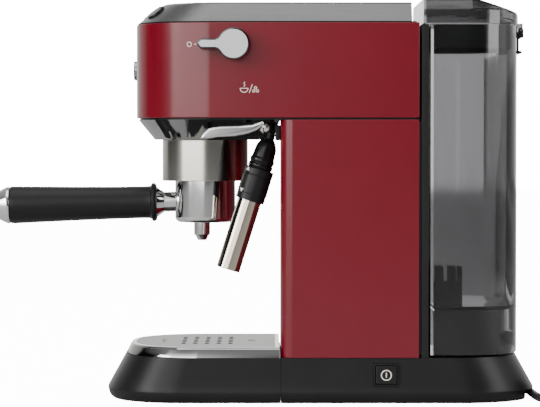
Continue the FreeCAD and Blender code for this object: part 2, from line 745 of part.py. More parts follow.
def warmer_high_plan():
    low = warmer_low_plan()
    corner = low.corner - S.warmer_side
    return Plan(low.half - S.warmer_side, S.warmer_back, low.nose + S.warmer_front, low.bow, corner, -1)


BUTTON_TILT = Size(
    math.degrees(math.atan2(amount(S.warmer_high), amount(S.warmer_front))),
    "(90 - atan(Sizes.warmer_front / Sizes.warmer_high) / 1 deg)",
)


def button_spots():
    """Name, place and facing of each button, on the warming plate's leaning front."""
    low, high = warmer_low_plan(), warmer_high_plan()
    share = 0.56
    half = low.half + (high.half - low.half) * share
    nose = low.nose + (high.nose - low.nose) * share
    corner = low.corner + (high.corner - low.corner) * share
    middle = Plan(half, S.warmer_back, nose, low.bow, corner, -1)
    height = WARMER_LOW + S.warmer_high * share
    side_x, side_y = middle.corner_middle()
    x = side_x + corner * sine(S.button_turn)
    y = side_y - corner * cosine(S.button_turn)
    return [
        ("left_button", (-x, y, height), -S.button_turn),
        ("middle_button", (Size(0, "0"), nose, height), Size(0, "0")),
        ("right_button", (x, y, height), S.button_turn),
    ]


def aim(thing, at, turn):
    """Lay an upright piece on the sloping front: leaned forward, then turned aside."""
    lean = FreeCAD.Rotation(RIGHT, amount(BUTTON_TILT))
    spin = FreeCAD.Rotation(UP, amount(turn))
    thing.Placement = FreeCAD.Placement(V(*map(amount, at)), spin.multiply(lean))
    for letter, size in zip("xyz", at):
        bind(thing, f".Placement.Base.{letter}", size)
    return thing


def top_plate():
    made = new_body("warmer_sheet")
    low, high = warmer_low_plan(), warmer_high_plan()
    top, edge, wall = WARMER_LOW + S.warmer_high, S.warmer_round, S.warmer_wall
    loft(made, low.loop(), high.loop(), WARMER_LOW, top - edge * 0.5)
    loft(made, high.loop(), high.inset(edge, 0).loop(), top - edge * 0.5, top)
    loft(made, low.inset(wall * 1.5, wall).loop(), high.inset(wall * 1.5, wall).loop(),
         WARMER_LOW, top - edge * 0.5 - wall, cut=True)
    reach, deep = S.button_out + S.button_gap, 7
    profile = [(0, -deep), (reach, -deep), (reach, deep), (0, deep)]
    bores = [aim(turned(f"{name}_bore", profile), at, turn) for name, at, turn in button_spots()]
    return cut("top_plate", made, *bores)


def button(name, at, turn):
    cap, stem = S.button_out, 2
    profile = [
        (0, S.button_proud), (cap - 0.8, S.button_proud), (cap, S.button_proud - 0.8),
        (cap, -S.button_deep),
        (stem, -S.button_deep), (stem, -S.button_deep - 2), (0, -S.button_deep - 2),
    ]
    return aim(turned(name, profile), at, turn)


def front_badge():
    profile = [(0, 0), (7.5, 0), (7.5, 1.6), (6.7, 2.4), (0, 2.4)]
    middle = (S.head_bottom + S.head_top) / 2 + 1.2
    return turned("front_badge", profile, (0, -S.head_nose, middle), RIGHT, 90)


def rear_cover():
    made = new_body("rear_cover")
    half, low = S.body_half - 1.2, S.deck_top
    front = S.cover_back - S.cover_plate
    lip_half, lip_top = S.body_half - S.panel - 1, COLUMN_TOP - 2
    high = S.tank_rim + S.lid_gap - S.cover_gap
    pad(made, [rectangle(-half, half, front, S.cover_back)], high - low, lift=low)
    pad(made, [rectangle(-lip_half, lip_half, S.body_back - 3.5, front)], lip_top - low - 2, lift=low + 2)
    inner = lip_half - S.frame_wall
    hollow = rectangle(-inner, inner, S.body_back - 4, S.cover_back - S.frame_wall)
    pocket(made, [hollow], lip_top - low - 8, lift=low + 5)
    return made


def underhead_cover():
    """Chrome cover under the head, cut away beside the group for the wand."""
    made = new_body("underhead_hull")
    high = HEAD.inset(S.panel - 0.5, 0)
    high = Plan(high.half, -S.column_front - 0.4, high.nose, high.bow, high.corner, -1)
    low = Plan(S.hull_half, -S.column_front - 6, -S.hull_nose, S.head_bow, S.hull_half - 8, -1)
    loft(made, low.loop(), high.loop(), S.sleeve_high, COLUMN_TOP)
    wall = S.hull_wall
    loft(made, low.inset(wall * 1.6, wall * 2).loop(), high.inset(wall, wall).loop(),
         S.sleeve_high + wall, COLUMN_TOP, cut=True)
    pocket(made, [circle(0, -S.group_y, S.group_boss + S.boss_gap)], 8, lift=S.sleeve_high - 4)
    recess = block("wand_recess", (S.hull_half - 10, -S.wand_y - 44, S.sleeve_high - 1),
                   (S.body_half + 5, -S.column_front + 1, COLUMN_TOP - S.hull_flange))
    lid = block("recess_wall", (S.hull_half - 12, -S.wand_y - 46, S.sleeve_high + 2),
                (S.hull_half - 10, -S.column_front - 7, COLUMN_TOP - 1))
    ceiling = block("recess_ceiling", (S.hull_half - 12, -S.wand_y - 46, COLUMN_TOP - S.hull_flange),
                    (S.hull_half + 12, -S.column_front - 1, COLUMN_TOP))
    stem = rod("stem_way", S.pivot_stem + S.stem_gap + 0.2, 8, (S.wand_x, -S.wand_y, COLUMN_TOP - 4))
    shell = cut("hull_with_recess", made, recess)
    return cut("underhead_cover", joined("hull_closed", shell, lid, ceiling), stem)


def wand_bracket():
    low = (S.wand_x - 7, -S.column_front - 4.2, S.sleeve_high - 0.6)
    high = (S.wand_x + 7, -S.column_front, COLUMN_TOP - 4)
    made = block("wand_bracket", low, high)
    return made


# ---------------------------------------------------------------- brew group


def at_group(z=0):
    return (0, -S.group_y, z)


def group_sleeve():
    out, low, high = S.sleeve_out, S.sleeve_low, S.sleeve_high
    inner = out - S.sleeve_wall
    profile = [(inner, low), (out - 0.8, low), (out, low + 0.8), (out, high), (inner, high)]
    return turned("group_sleeve", profile, at_group())


def lock_ring():
    """Bayonet ring: a ledge with two gaps for the lugs, under an open channel."""
    out = S.sleeve_out - S.sleeve_wall
    channel, ledge = S.lug_reach + 0.4, S.ledge_low + S.ledge_high
    top = S.sleeve_high - S.brew_plate + 2
    profile = [(S.ledge_in, S.ledge_low), (out, S.ledge_low), (out, top), (channel, top),
               (channel, ledge), (S.ledge_in, ledge)]
    made = turned("lock_ring_full", profile, at_group())
    # the gate is a bar across the ring, turned to where the lugs drop out
    half, slant = S.lug_wide / 2 + 2, math.sqrt(0.5)
    corner = ((-channel - half) * slant, (channel - half) * slant - S.group_y, S.ledge_low - 1)
    sizes = {"Length": channel * 2, "Width": half * 2, "Height": S.ledge_high + 2}
    gate = primitive("Box", "lug_gate", corner, sizes, UP, -45)
    return cut("lock_ring", made, gate)


def brew_head():
    low, plate = S.sleeve_high - S.brew_plate, S.sleeve_out - S.sleeve_wall - 1.1
    profile = [(2.6, low), (plate, low), (plate, S.sleeve_high), (S.group_boss, S.sleeve_high),
               (S.group_boss, HEAD_FLOOR_TOP + 2), (2.6, HEAD_FLOOR_TOP + 2)]
    return turned("brew_head", profile, at_group())


def group_gasket():
    high = S.sleeve_high - S.brew_plate
    low = high - S.gasket_high
    profile = [(S.gasket_in, low), (S.gasket_out, low), (S.gasket_out, high), (S.gasket_in, high)]
    return turned("group_gasket", profile, at_group())


def shower_screen():
    high = S.sleeve_high - S.brew_plate
    made = new_body("shower_screen")
    holes = [circle(r * math.cos(a), r * math.sin(a), 0.9)
             for r, count in ((9, 8), (15, 14)) for a in [2 * math.pi * n / count for n in range(count)]]
    pad(made, [circle(0, 0, S.gasket_in - 0.3), circle(0, 0, 2.6), *holes], 1.2)
    return place(made, at_group(high - 1.2))


def shower_screw():
    high = S.sleeve_high - S.brew_plate - 1.2
    profile = [(0, high - 2.2), (4, high - 2.2), (4, high), (2.5, high), (2.5, high + 12), (0, high + 12)]
    return turned("shower_screw", profile, at_group())


# ---------------------------------------------------------------- filter holder


def portafilter_bowl():
    inner, floor = S.bowl_out - S.bowl_wall, S.bowl_low + S.bowl_floor
    cup_in, seat = S.cup_out - 1.7, S.cup_step + 1.2
    profile = [
        (0, S.bowl_low), (S.bowl_out, S.bowl_low), (S.bowl_out, S.cup_step), (S.cup_out, S.cup_step),
        (S.cup_out, S.cup_high), (cup_in, S.cup_high), (cup_in, seat), (inner, seat), (inner, floor),
        (0, floor),
    ]
    bowl = turned("bowl_turned", profile, at_group())
    soften(bowl, S.bowl_round, lambda e: level_at(S.bowl_low)(e) and e.BoundBox.XLength > 10)
    low = S.ledge_low + S.ledge_high + S.lug_gap
    bar = block("lug_bar", (-S.lug_reach, -S.group_y - S.lug_wide / 2, low),
                (S.lug_reach, -S.group_y + S.lug_wide / 2, low + S.lug_high))
    limit = rod("lug_limit", S.lug_reach, 60, at_group(S.cup_step))
    core = rod("lug_core", S.cup_out - 0.4, 60, at_group(S.cup_step))
    lugs = cut("lugs", shared("lug_disc", bar, limit), core)
    drain = rod("bowl_drain", S.spout_bore + 0.8, S.bowl_floor + 2, (0, -S.spout_y, S.bowl_low - 1))
    return cut("portafilter_bowl", joined("bowl_with_lugs", bowl, lugs), drain)


def filter_basket():
    out = S.cup_out - 1.7 - S.basket_gap
    low, rim, wall = S.cup_step + 1.2, S.cup_high, S.basket_wall
    profile = [(0, low), (out, low), (out, rim), (S.basket_rim, rim), (S.basket_rim, rim + 0.8),
               (out - wall, rim + 0.8), (out - wall, low + wall), (0, low + wall)]
    return turned("filter_basket", profile, at_group())


def spout():
    low, high = S.spout_low, S.bowl_low
    profile = [(S.spout_bore, low), (S.spout_tip, low), (S.spout_out, low + S.spout_taper),
               (S.spout_out, high), (S.spout_bore, high)]
    return turned("spout", profile, (0, -S.spout_y, 0))


def along_handle(thing):
    """Turn an upright piece so that its height runs out along the handle."""
    return place(thing, at_group(S.handle_z), RIGHT, S.handle_tilt + 90)


def handle_neck():
    start = S.bowl_out - 5
    profile = [(0, start), (S.neck_out, start), (S.neck_out, S.neck_end - 8.6), (S.neck_wide, S.neck_end),
               (0, S.neck_end)]
    made = along_handle(turned("neck_turned", profile))
    bowl = rod("neck_bowl", S.bowl_out, 40, at_group(S.bowl_low - 2))
    return cut("handle_neck", made, bowl)


def handle_grip():
    start, end = S.neck_end, S.grip_end
    waist = start + S.flange_long
    profile = [(0, start), (S.flange_out - 1, start), (S.flange_out, start + 1), (S.flange_out, waist - 1),
               (S.flange_out - 1, waist), (S.grip_thin, waist), (S.grip_thick, end - 16),
               (S.grip_thick, end), (0, end)]
    return along_handle(turned("handle_grip", profile))


def handle_cap():
    start, tip = S.grip_end, S.grip_end + S.cap_long
    profile = [(0, start), (S.grip_thick, start), (S.grip_thick, start + 2), (S.cap_tip, tip), (0, tip)]
    return along_handle(turned("handle_cap", profile))


# ---------------------------------------------------------------- steam wand


def along_wand(thing, down=0):
    """Lean an upright piece with the wand, at a distance below the collar's top."""
    y = -S.collar_y - down * sine(S.wand_tilt)
    z = S.collar_z - down * cosine(S.wand_tilt)
    return place(thing, (S.wand_x, y, z), RIGHT, -S.wand_tilt)


def wand_pivot():
    low, out, stem = S.pivot_low, S.pivot_out, S.pivot_stem
    high = COLUMN_TOP - S.hull_flange - 0.4
    profile = [(0, low), (out - 2, low), (out, low + 2), (out, high - 2), (out - 1.5, high), (stem, high),
               (stem, HEAD_FLOOR_TOP + 6), (0, HEAD_FLOOR_TOP + 6)]
    return turned("wand_pivot", profile, (S.wand_x, -S.wand_y, 0))


def wand_arm():
    rise, run = S.pivot_low + 0.6 - S.collar_z, S.collar_y - S.wand_y
    lean = Size(
        math.degrees(math.atan2(amount(run), amount(rise))),
        f"(atan({written(run)} / {written(rise)}) / 1 deg)")
    sizes = {"Radius1": S.arm_foot, "Radius2": S.arm_top, "Height": root(rise * rise + run * run)}
    made = primitive("Cone", "arm_cone", (S.wand_x, -S.collar_y, S.collar_z), sizes, RIGHT, -lean)
    below = along_wand(rod("arm_below", S.arm_foot + 4, 12, (0, 0, 0)), 12)
    return cut("wand_arm", made, below)


def steam_tube():
    out, long = S.wand_tube, S.collar_long + S.wand_long - 6
    profile = [(0, 0), (1.6, 0), (2.6, 3), (out, 5), (out, long), (0, long)]
    return along_wand(turned("steam_tube", profile), long)


def wand_collar():
    bore, out, long = S.wand_tube + S.tube_gap, S.collar_out, S.collar_long - 0.3
    profile = [(bore, 0), (out - 1, 0), (out, 1), (out, long - 3), (out - 1.4, long), (bore, long)]
    return along_wand(turned("wand_collar", profile), S.collar_long)


def wand_sleeve():
    out, inner, long = S.wand_out, S.wand_out - S.wand_wall, S.wand_long
    profile = [(inner, 0), (out, 0), (out, long - 0.3), (S.wand_tube, long - 0.3),
               (S.wand_tube, long - 2.6), (inner, long - 2.6)]
    return along_wand(turned("wand_sleeve", profile), S.collar_long + S.wand_long)


# ---------------------------------------------------------------- knob, valve and keys


def steam_knob():
    made = new_body("steam_knob")
    foot, thick = S.body_half + S.knob_gap, S.knob_thick
    half, tip = S.knob_arm / 2, S.knob_reach
    pad(made, [circle(0, 0, S.knob_out)], thick, role="YZ_Plane")
    pointer = polygon((-tip, 0), (4 - tip, -half), (-4, -half), (-4, half), (4 - tip, half))
    pad(made, [pointer], thick - 3, role="YZ_Plane", lift=3)
    face = amount(thick)
    soften(made, 1.2, lambda e: abs(e.BoundBox.XMin - face) < 0.01 and abs(e.BoundBox.XMax - face) < 0.01,
           "Chamfer")
    pocket(made, [circle(0, 0, S.spindle)], 8, role="YZ_Plane")
    return place(made, (foot, -S.knob_y, S.knob_z))


def knob_spindle():
    start = S.body_half - 12
    long = S.body_half + S.knob_gap + 8 - start
    return rod("knob_spindle", S.spindle, long, (start, -S.knob_y, S.knob_z), AHEAD, 90)


def steam_valve():
    half, long = S.valve_half, S.valve_long
    start = S.body_half - 9 - long
    low, high = S.knob_z - half, S.knob_z + half
    made = block("valve_body", (start, -S.knob_y - half, low), (start + long, -S.knob_y + half, high))
    inlet = (start + long - 10, -S.knob_y, S.knob_z)
    bore = rod("valve_bore", S.spindle + S.stem_gap, 12, inlet, AHEAD, 90)
    stub = rod("valve_stub", 3.4, 14, (start + 8, -S.knob_y + half - 4, S.knob_z), RIGHT, -90)
    return cut("steam_valve", joined("valve_with_stub", made, stub), bore)


def switch_housing():
    made = new_body("switch_housing")
    gap, frame = S.key_gap, S.key_frame
    reach, rise = S.key_wide / 2 + gap, S.key_high / 2 + gap
    back, front = S.base_half_top - 16, S.key_face - 1
    y, z = S.key_y, S.key_z
    outer = rectangle(y - reach - frame, y + reach + frame, z - rise - frame, z + rise + frame)
    inner = rectangle(y - reach, y + reach, z - rise, z + rise)
    pad(made, [outer], front - back, role="YZ_Plane", lift=back)
    pocket(made, [inner], 20, role="YZ_Plane", lift=back + 8)
    return made


def power_key():
    made = new_body("power_key")
    reach, rise = S.key_wide / 2, S.key_high / 2
    back = S.base_half_top - 16 + 8 + 2.4
    pad(made, [rectangle(S.key_y - reach, S.key_y + reach, S.key_z - rise, S.key_z + rise)],
        S.key_face - back, role="YZ_Plane", lift=back)
    face = amount(S.key_face)
    soften(made, 0.8, lambda e: abs(e.BoundBox.XMin - face) < 0.01 and abs(e.BoundBox.XMax - face) < 0.01)
    return made


# ---------------------------------------------------------------- drip tray


def drip_tray():
    made = new_body("drip_tray")
    skirt(made, TRAY_FOOT, TRAY_TOP)
    inside = TRAY_TOP.inset(S.base_wall, S.base_wall)
    pocket(made, [inside.loop()], S.deck_top, lift=S.tray_floor)
    half, low = S.tongue_wide / 2, S.tongue_low
    tongues = [rectangle(x - half, x + half, low, low + S.tongue_high) for x in (-S.tongue_x, S.tongue_x)]
    pad(made, tongues, S.tongue_long + 1, role="XZ_Plane", lift=S.split + 1, back=True)
    return made


def rim_plans():
    foot = Plan(S.rim_half, -S.split - 0.8, -S.rim_nose, S.base_bow - 1, S.base_corner - 1, -1)
    return foot, foot.inset(S.rim_lean, 0)


def grate_plan(gap):
    foot, top = rim_plans()
    return top.inset(S.grate_inset + gap, S.grate_inset + gap)


def tray_rim():
    made = new_body("tray_rim")
    foot, top = rim_plans()
    loft(made, foot.loop(), top.loop(), S.deck_top, S.deck_top + S.rim_high)
    hole = top.inset(S.rim_ledge, S.rim_ledge)
    pocket(made, [hole.loop()], S.rim_high + 2, lift=S.deck_top - 1)
    pocket(made, [grate_plan(0).loop()], 5, lift=S.deck_top + S.rim_high - S.grate_thick)
    return made


def slot(x, y, wide, long):
    """A round-ended slot that runs across the machine."""
    half, reach = wide / 2, (long - wide) / 2
    return [
        line((x - reach, y - half), (x + reach, y - half)),
        arc((x + reach, y - half), (x + reach, y + half), (x + reach, y), None, True),
        line((x + reach, y + half), (x - reach, y + half)),
        arc((x - reach, y + half), (x - reach, y - half), (x - reach, y), None, True),
    ]


def cup_grate():
    made = new_body("cup_grate")
    low = S.deck_top + S.rim_high - S.grate_thick
    pad(made, [grate_plan(S.grate_gap).loop()], S.grate_thick, lift=low)
    rows, columns, pitch_y, pitch_x = 5, 5, 9, 15
    left_x, front_y = -pitch_x * (columns - 1) / 2, -S.group_y - 16
    first = slot(left_x, front_y, S.slot_wide, S.slot_long)
    cutter = pocket(made, [first], S.grate_thick + 2, lift=low - 1)
    across = feature(made, "LinearPattern", Originals=[cutter], Length=-2 * left_x, Occurrences=columns)
    across.Direction = (next(f for f in made.Origin.OriginFeatures if f.Role == "X_Axis"), [""])
    made.Tip = across
    for row in range(1, rows):
        spots = [slot(left_x + n * pitch_x, front_y + row * pitch_y, S.slot_wide, S.slot_long)
                 for n in range(columns)]
        pocket(made, spots, S.grate_thick + 2, lift=low - 1)
    holes = [circle(x, -S.group_y - 32, 1.7) for x in (-12, -4, 4, 12)]
    holes.append(circle(0, -S.float_y, S.float_stem + S.float_gap))
    pocket(made, holes, S.grate_thick + 2, lift=low - 1)
    return made


def tray_float():
    low = S.tray_floor + 0.5
    top = S.deck_top + S.rim_high - S.grate_thick - 1.5
    profile = [(0, low), (S.float_out, low), (S.float_out, low + 7), (S.float_stem, low + 9),
               (S.float_stem, top), (0, top)]
    return turned("tray_float", profile, (0, -S.float_y, 0))


# ---------------------------------------------------------------- water tank


def tank_seat():
    made = new_body("tank_seat")
    outside = TANK.inset(S.tank_wall + S.seat_gap, S.tank_wall + S.seat_gap)
    pad(made, [outside.loop()], S.tank_sole - S.deck_top, lift=S.deck_top)
    inside = outside.inset(3, 3)
    pocket(made, [inside.loop()], S.tank_sole - S.deck_top - 14, lift=S.deck_top)
    pocket(made, [circle(0, S.outlet_y, S.outlet_flange)], 12, lift=S.tank_sole - 11)
    pocket(made, [circle(0, S.outlet_y, S.hose_out)], 20, lift=S.tank_sole - 30)
    return made


def water_tank():
    made = new_body("water_tank")
    pad(made, [TANK.loop()], S.tank_rim - TANK_SKIRT, lift=TANK_SKIRT)
    inside = TANK.inset(S.tank_wall, S.tank_wall)
    pocket(made, [inside.loop()], S.tank_rim - TANK_INSIDE + 1, lift=TANK_INSIDE)
    pocket(made, [inside.loop()], S.tank_sole - TANK_SKIRT, lift=TANK_SKIRT)
    pocket(made, [circle(0, S.outlet_y, S.outlet_out)], S.tank_floor + 2, lift=S.tank_sole - 1)
    return made


def tank_handle():
    made = new_body("tank_handle")
    band = TANK.inset(S.tank_wall + S.bail_gap, S.tank_wall + S.bail_gap)
    pad(made, [band.loop()], S.bail_high, lift=S.bail_low)
    inside = band.inset(S.bail_thick, S.bail_thick)
    pocket(made, [inside.loop()], S.bail_high + 2, lift=S.bail_low - 1)
    reach = S.tank_nose - S.tank_wall - S.bail_gap - 0.4
    pad(made, [rectangle(-11, 11, reach - 10, reach)], S.bail_high + 3, lift=S.bail_low - 3)
    return made


def tank_valve():
    low, high = S.tank_sole - 7, TANK_INSIDE + 2
    profile = [(0, low), (S.outlet_out, low), (S.outlet_out, TANK_INSIDE), (S.outlet_flange, TANK_INSIDE),
               (S.outlet_flange, high), (0, high)]
    return turned("tank_valve", profile, (0, S.outlet_y, 0))


def filter_cup():
    """Open cup over the outlet, with slots all round its rim."""
    made = new_body("filter_cup")
    out, wall, high = S.filter_out, 2, S.filter_high
    pad(made, [circle(0, 0, out), circle(0, 0, out - wall)], high)
    gap = rectangle(-2.2, 2.2, high - 12, high + 1)
    cutter = pocket(made, [gap], out * 2 + 2, role="XZ_Plane", both=True)
    cutter.Refine = False
    pattern = feature(made, "PolarPattern", Originals=[cutter], Angle=180 * 3 / 4, Occurrences=4)
    pattern.Axis = (next(f for f in made.Origin.OriginFeatures if f.Role == "Z_Axis"), [""])
    made.Tip = pattern
    return place(made, (0, S.outlet_y, TANK_INSIDE))


def lid_side(label, low, drop, half):
    """Prism across the lid with its flat top and rear slope."""
    made = new_body(label)
    front = S.lid_front + drop
    outline = polygon(
        (front, low), (front, S.lid_top - drop), (S.lid_flat - drop / 2, S.lid_top - drop),
        (S.lid_knee_y - drop / 2, S.lid_knee_z - drop), (S.tank_nose + 4 - drop, S.lid_lip - drop),
        (S.tank_nose + 4 - drop, low),
    )
    pad(made, [outline], half * 2, role="YZ_Plane", both=True)
    return made


def lid_hood(label, gap, low):
    """The lid's plan, with sides that lean in above its shoulder."""
    made = new_body(label)
    half, nose = S.tank_half + S.lid_over, S.tank_nose + S.lid_over
    plan = Plan(half, S.lid_front, nose, S.tank_bow, S.tank_corner, 1).inset(gap, gap)
    pad(made, [plan.loop()], S.lid_shoulder - low, lift=low)
    narrow = plan.inset(S.lid_lean, 0)
    loft(made, plan.loop(), narrow.loop(), S.lid_shoulder, S.lid_top + 1)
    return made


def tank_lid():
    low = S.tank_rim + S.lid_gap
    half = S.tank_half + S.lid_over + 1
    outer = shared("lid_outer", lid_hood("lid_hood_out", 0, low), lid_side("lid_side_out", low, 0, half))
    inner = shared("lid_inner", lid_hood("lid_hood_in", S.lid_wall, low - 1),
                   lid_side("lid_side_in", low - 1, S.lid_wall, half))
    shell = cut("lid_shell", outer, inner)
    mid, out, y, z = S.hinge_mid, S.hinge_out, S.hinge_y, S.hinge_z
    knuckle = rod("lid_knuckle", out, mid * 2, (-mid, y, z), AHEAD, 90)
    web = block("lid_web", (-mid, y - out, z), (mid, y + out, low + 2.5))
    tab = block("lid_tab", (-mid, S.tank_nose - 1, low), (mid, y, low + 2.5))
    bore = rod("lid_bore", S.hinge_pin + S.stem_gap, mid * 2 + 2, (-mid - 1, y, z), AHEAD, 90)
    return cut("tank_lid", joined("lid_with_knuckle", shell, knuckle, web, tab), bore)


def tank_hinge():
    """Bracket on the tank's back: a plate, a finger hook and two knuckles for the lid's pin."""
    back, y, z, out = S.tank_nose, S.hinge_y, S.hinge_z, S.hinge_out
    half, mid = S.hinge_half, S.hinge_mid + 0.4
    low = z - 18
    plate = block("hinge_plate", (-half, back, low), (half, back + 1.4, z - 2.4))
    hook = block("hinge_hook", (-half, back + 1, low), (half, y + 0.8, low + 2))
    pieces = [plate, hook]
    for side, start in (("left", -half), ("right", mid)):
        pieces.append(block(f"{side}_web", (start, back + 1, z - 6), (start + half - mid, y + out, z)))
        pieces.append(rod(f"{side}_knuckle", out, half - mid, (start, y, z), AHEAD, 90))
    bore = rod("hinge_bore", S.hinge_pin, half * 2 + 2, (-half - 1, y, z), AHEAD, 90)
    return cut("tank_hinge", joined("hinge_solid", *pieces), bore)


def lid_pin():
    return rod("lid_pin", S.hinge_pin, S.hinge_half * 2, (-S.hinge_half, S.hinge_y, S.hinge_z), AHEAD, 90)


# ---------------------------------------------------------------- inside


def thermoblock():
    made = new_body("thermoblock")
    low = HEAD_FLOOR_TOP + 2
    outline = rectangle(-S.block_half, S.block_half, -S.group_y - 34, -S.group_y + 48)
    pad(made, [outline], S.block_high, lift=low)
    soften(made, 8, upright)
    pad(made, [circle(0, -S.group_y + 6, 24)], 5, lift=low + S.block_high)
    return made


def pump():
    low, long, out = S.pump_low, S.pump_long, S.pump_out
    profile = [(0, low - 8), (4, low - 8), (4, low), (out, low), (out, low + long), (6, low + long),
               (6, low + long + 8), (0, low + long + 8)]
    return turned("pump", profile, (-S.pump_x, S.pump_y, 0))


def pump_mounts():
    made = new_body("pump_mounts")
    for lift in (8, S.pump_long - 16):
        pad(made, [circle(0, 0, S.mount_out), circle(0, 0, S.pump_out)], 8, lift=S.pump_low + lift)
    return place(made, (-S.pump_x, S.pump_y, 0))


def control_board():
    made = new_body("control_board")
    front = -S.column_front + S.panel + S.frame_gap + S.frame_wall + 9
    pad(made, [rectangle(-52, 52, 68, 194)], 1.6, role="XZ_Plane", lift=-front, back=True)
    relay, coil = rectangle(-40, -18, 120, 150), rectangle(10, 34, 96, 124)
    parts = [relay, coil, circle(24, 150, 8), circle(-20, 96, 6)]
    pad(made, parts, 12, role="XZ_Plane", lift=-front - 1.5, back=True)
    return made


def smooth_path(points, radii):
    """Straight runs joined by tangent arcs, one arc at each inner point."""
    edges, start = [], points[0]
    for before, corner, after, radius in zip(points, points[1:], points[2:], radii):
        back, ahead = (before - corner).normalize(), (after - corner).normalize()
        half = back.getAngle(ahead) / 2
        reach = radius / math.tan(half)
        middle = corner + (back + ahead).normalize() * (radius / math.sin(half))
        first, last = corner + back * reach, corner + ahead * reach
        top = middle + (corner - middle).normalize() * radius
        edges += [Part.LineSegment(start, first).toShape(), Part.Arc(first, top, last).toShape()]
        start = last
    edges.append(Part.LineSegment(start, points[-1]).toShape())
    return Part.Wire(edges)


def swept(label, path, radius):
    """A solid tube along a path."""
    start, toward = path.Vertexes[0].Point, path.Edges[0].tangentAt(path.Edges[0].FirstParameter)
    ring = Part.Wire([Part.Circle(start, toward, amount(radius)).toShape()])
    made = DOC.addObject("Part::Feature", label)
    made.Shape = path.makePipeShell([ring], True, False)
    return made


def water_hoses():
    """From the tank's socket under the deck to the pump, and from the pump up to the heater."""
    x, y, out = -amount(S.pump_x), amount(S.pump_y), amount(S.hose_out)
    low, top = amount(S.pump_low) - 8, amount(S.pump_low + S.pump_long) + 8
    bend, under = amount(S.hose_bend), amount(S.deck_top) - 15
    outlet, sole = amount(S.outlet_y), amount(S.tank_sole) - 11
    heater_z = amount(HEAD_FLOOR_TOP) + 18
    heater_back = -amount(S.group_y) + 48
    suction = [V(0, outlet, sole), V(0, outlet, under), V(x, y, under), V(x, y, low)]
    pressure = [V(x, y, top), V(x, y, heater_z), V(x, heater_back, heater_z)]
    tubes = []
    for number, points in enumerate((suction, pressure)):
        path = smooth_path(points, [bend] * (len(points) - 2))
        tubes.append(swept(f"hose_{number}", path, out))
    made = DOC.addObject("Part::Compound", "water_hoses")
    made.Links = tubes
    return made


# ---------------------------------------------------------------- mains cord

CORD_POINTS = [
    (5.0, 160.4, 4.5),
    (21.0, 162.0, 3.5),
    (41.0, 162.9, 3.3),
    (60.0, 164.0, 3.3),
    (76.2, 171.9, 3.3),
    (87.8, 185.7, 3.3),
    (92.7, 203.0, 3.3),
    (92.1, 221.0, 3.3),
]


def cord_gland():
    """Tapered strain relief under the back edge, pointing out to the right."""
    end, inward = V(*CORD_POINTS[0]), V(*CORD_POINTS[0]) - V(*CORD_POINTS[1])
    start = end + inward.normalize() * 22
    spread = math.degrees((end - start).getAngle(UP))
    axis = UP.cross(end - start)
    sizes = {"Radius1": S.cord_out + 1.2, "Radius2": S.cord_out + 0.4, "Height": Size(22, "22")}
    return primitive("Cone", "cord_gland", tuple(start), sizes, axis, spread)


def cord():
    points = [V(*p) for p in CORD_POINTS]
    radii = []
    for before, corner, after in zip(points, points[1:], points[2:]):
        one, two = corner - before, after - corner
        turn = one.getAngle(two)
        radii.append(0.45 * min(one.Length, two.Length) / math.tan(turn / 2))
    path = smooth_path(points, radii)
    made = swept("cord", path, S.cord_out)
    section = math.pi * amount(S.cord_out) ** 2
    print("cord length", round(path.Length, 1), "bends", [round(r) for r in radii])
    print("cord volume over section times length", round(made.Shape.Volume / section / path.Length, 4))
    return made


def cord_coil():
    """The outer shape of the put-away coil: a flat ring of turns."""
    out = S.cord_out
    reach, high = out * S.coil_band, out * 2 * S.coil_layers
    turn = S.coil_turn
    profile = [(turn - reach, 0.1), (turn + reach, 0.1), (turn + reach, high), (turn - reach, high)]
    return turned("cord_coil", profile, (S.coil_x, S.coil_y, 0))


def plug():
    """Flat two-pin plug, lying on the coil."""
    made = new_body("plug")
    low = S.cord_out * 2 * S.coil_layers + 0.2
    pad(made, [rectangle(-17, 17, -6.5, 6.5)], 13, lift=0)
    soften(made, 4, lambda e: not level_at(0)(e) and e.BoundBox.XLength < 1 and e.BoundBox.YLength < 1)
    pins = [circle(y, 6.5, 2.4) for y in (-4, 4)]
    pad(made, pins, 19, role="YZ_Plane", lift=16.5)
    return place(made, (S.coil_x - 6, S.coil_y - S.coil_turn, low), UP, 0)


# ---------------------------------------------------------------- the machine


def build():
    pieces = [
        base_housing(), base_floor(), rubber_feet(), base_screws(), column_shell(),
        column_frame(), head_shell(), head_floor(), head_deck(), top_plate(), front_badge(),
        rear_cover(), underhead_cover(), wand_bracket(), group_sleeve(), lock_ring(),
        brew_head(), group_gasket(), shower_screen(), shower_screw(), portafilter_bowl(),
        filter_basket(), spout(), handle_neck(), handle_grip(), handle_cap(), wand_pivot(),
        wand_arm(), steam_tube(), wand_collar(), wand_sleeve(), steam_knob(), knob_spindle(),
        steam_valve(), switch_housing(), power_key(), drip_tray(), tray_rim(), cup_grate(),
        tray_float(), tank_seat(), water_tank(), tank_handle(), tank_valve(), filter_cup(),
        tank_lid(), tank_hinge(), lid_pin(), thermoblock(), pump(), pump_mounts(),
        control_board(), water_hoses(), cord_gland(), cord(), cord_coil(), plug(),
    ]
    pieces += [button(*spot) for spot in button_spots()]
    return pieces


def check(pieces):
    DOC.recompute()
    failed = [o.Label for o in DOC.Objects if {"Invalid", "Error"} & set(o.State)]
    if failed:
        raise RuntimeError(f"these did not build: {failed}")
    for piece in pieces:
        if piece.Shape.isNull() or not piece.Shape.isValid() or not piece.Shape.Solids:
            raise RuntimeError(f"{piece.Label} has no valid solid")


def write(pieces):
    os.makedirs("parts", exist_ok=True)
    for piece in pieces:
        piece.Shape.exportStep(f"parts/{piece.Label}.step")


PIECES = build()
check(PIECES)
write(PIECES)
print(len(PIECES), "pieces written")
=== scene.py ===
"""Finished pieces, materials and studio for a slim espresso machine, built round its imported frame."""

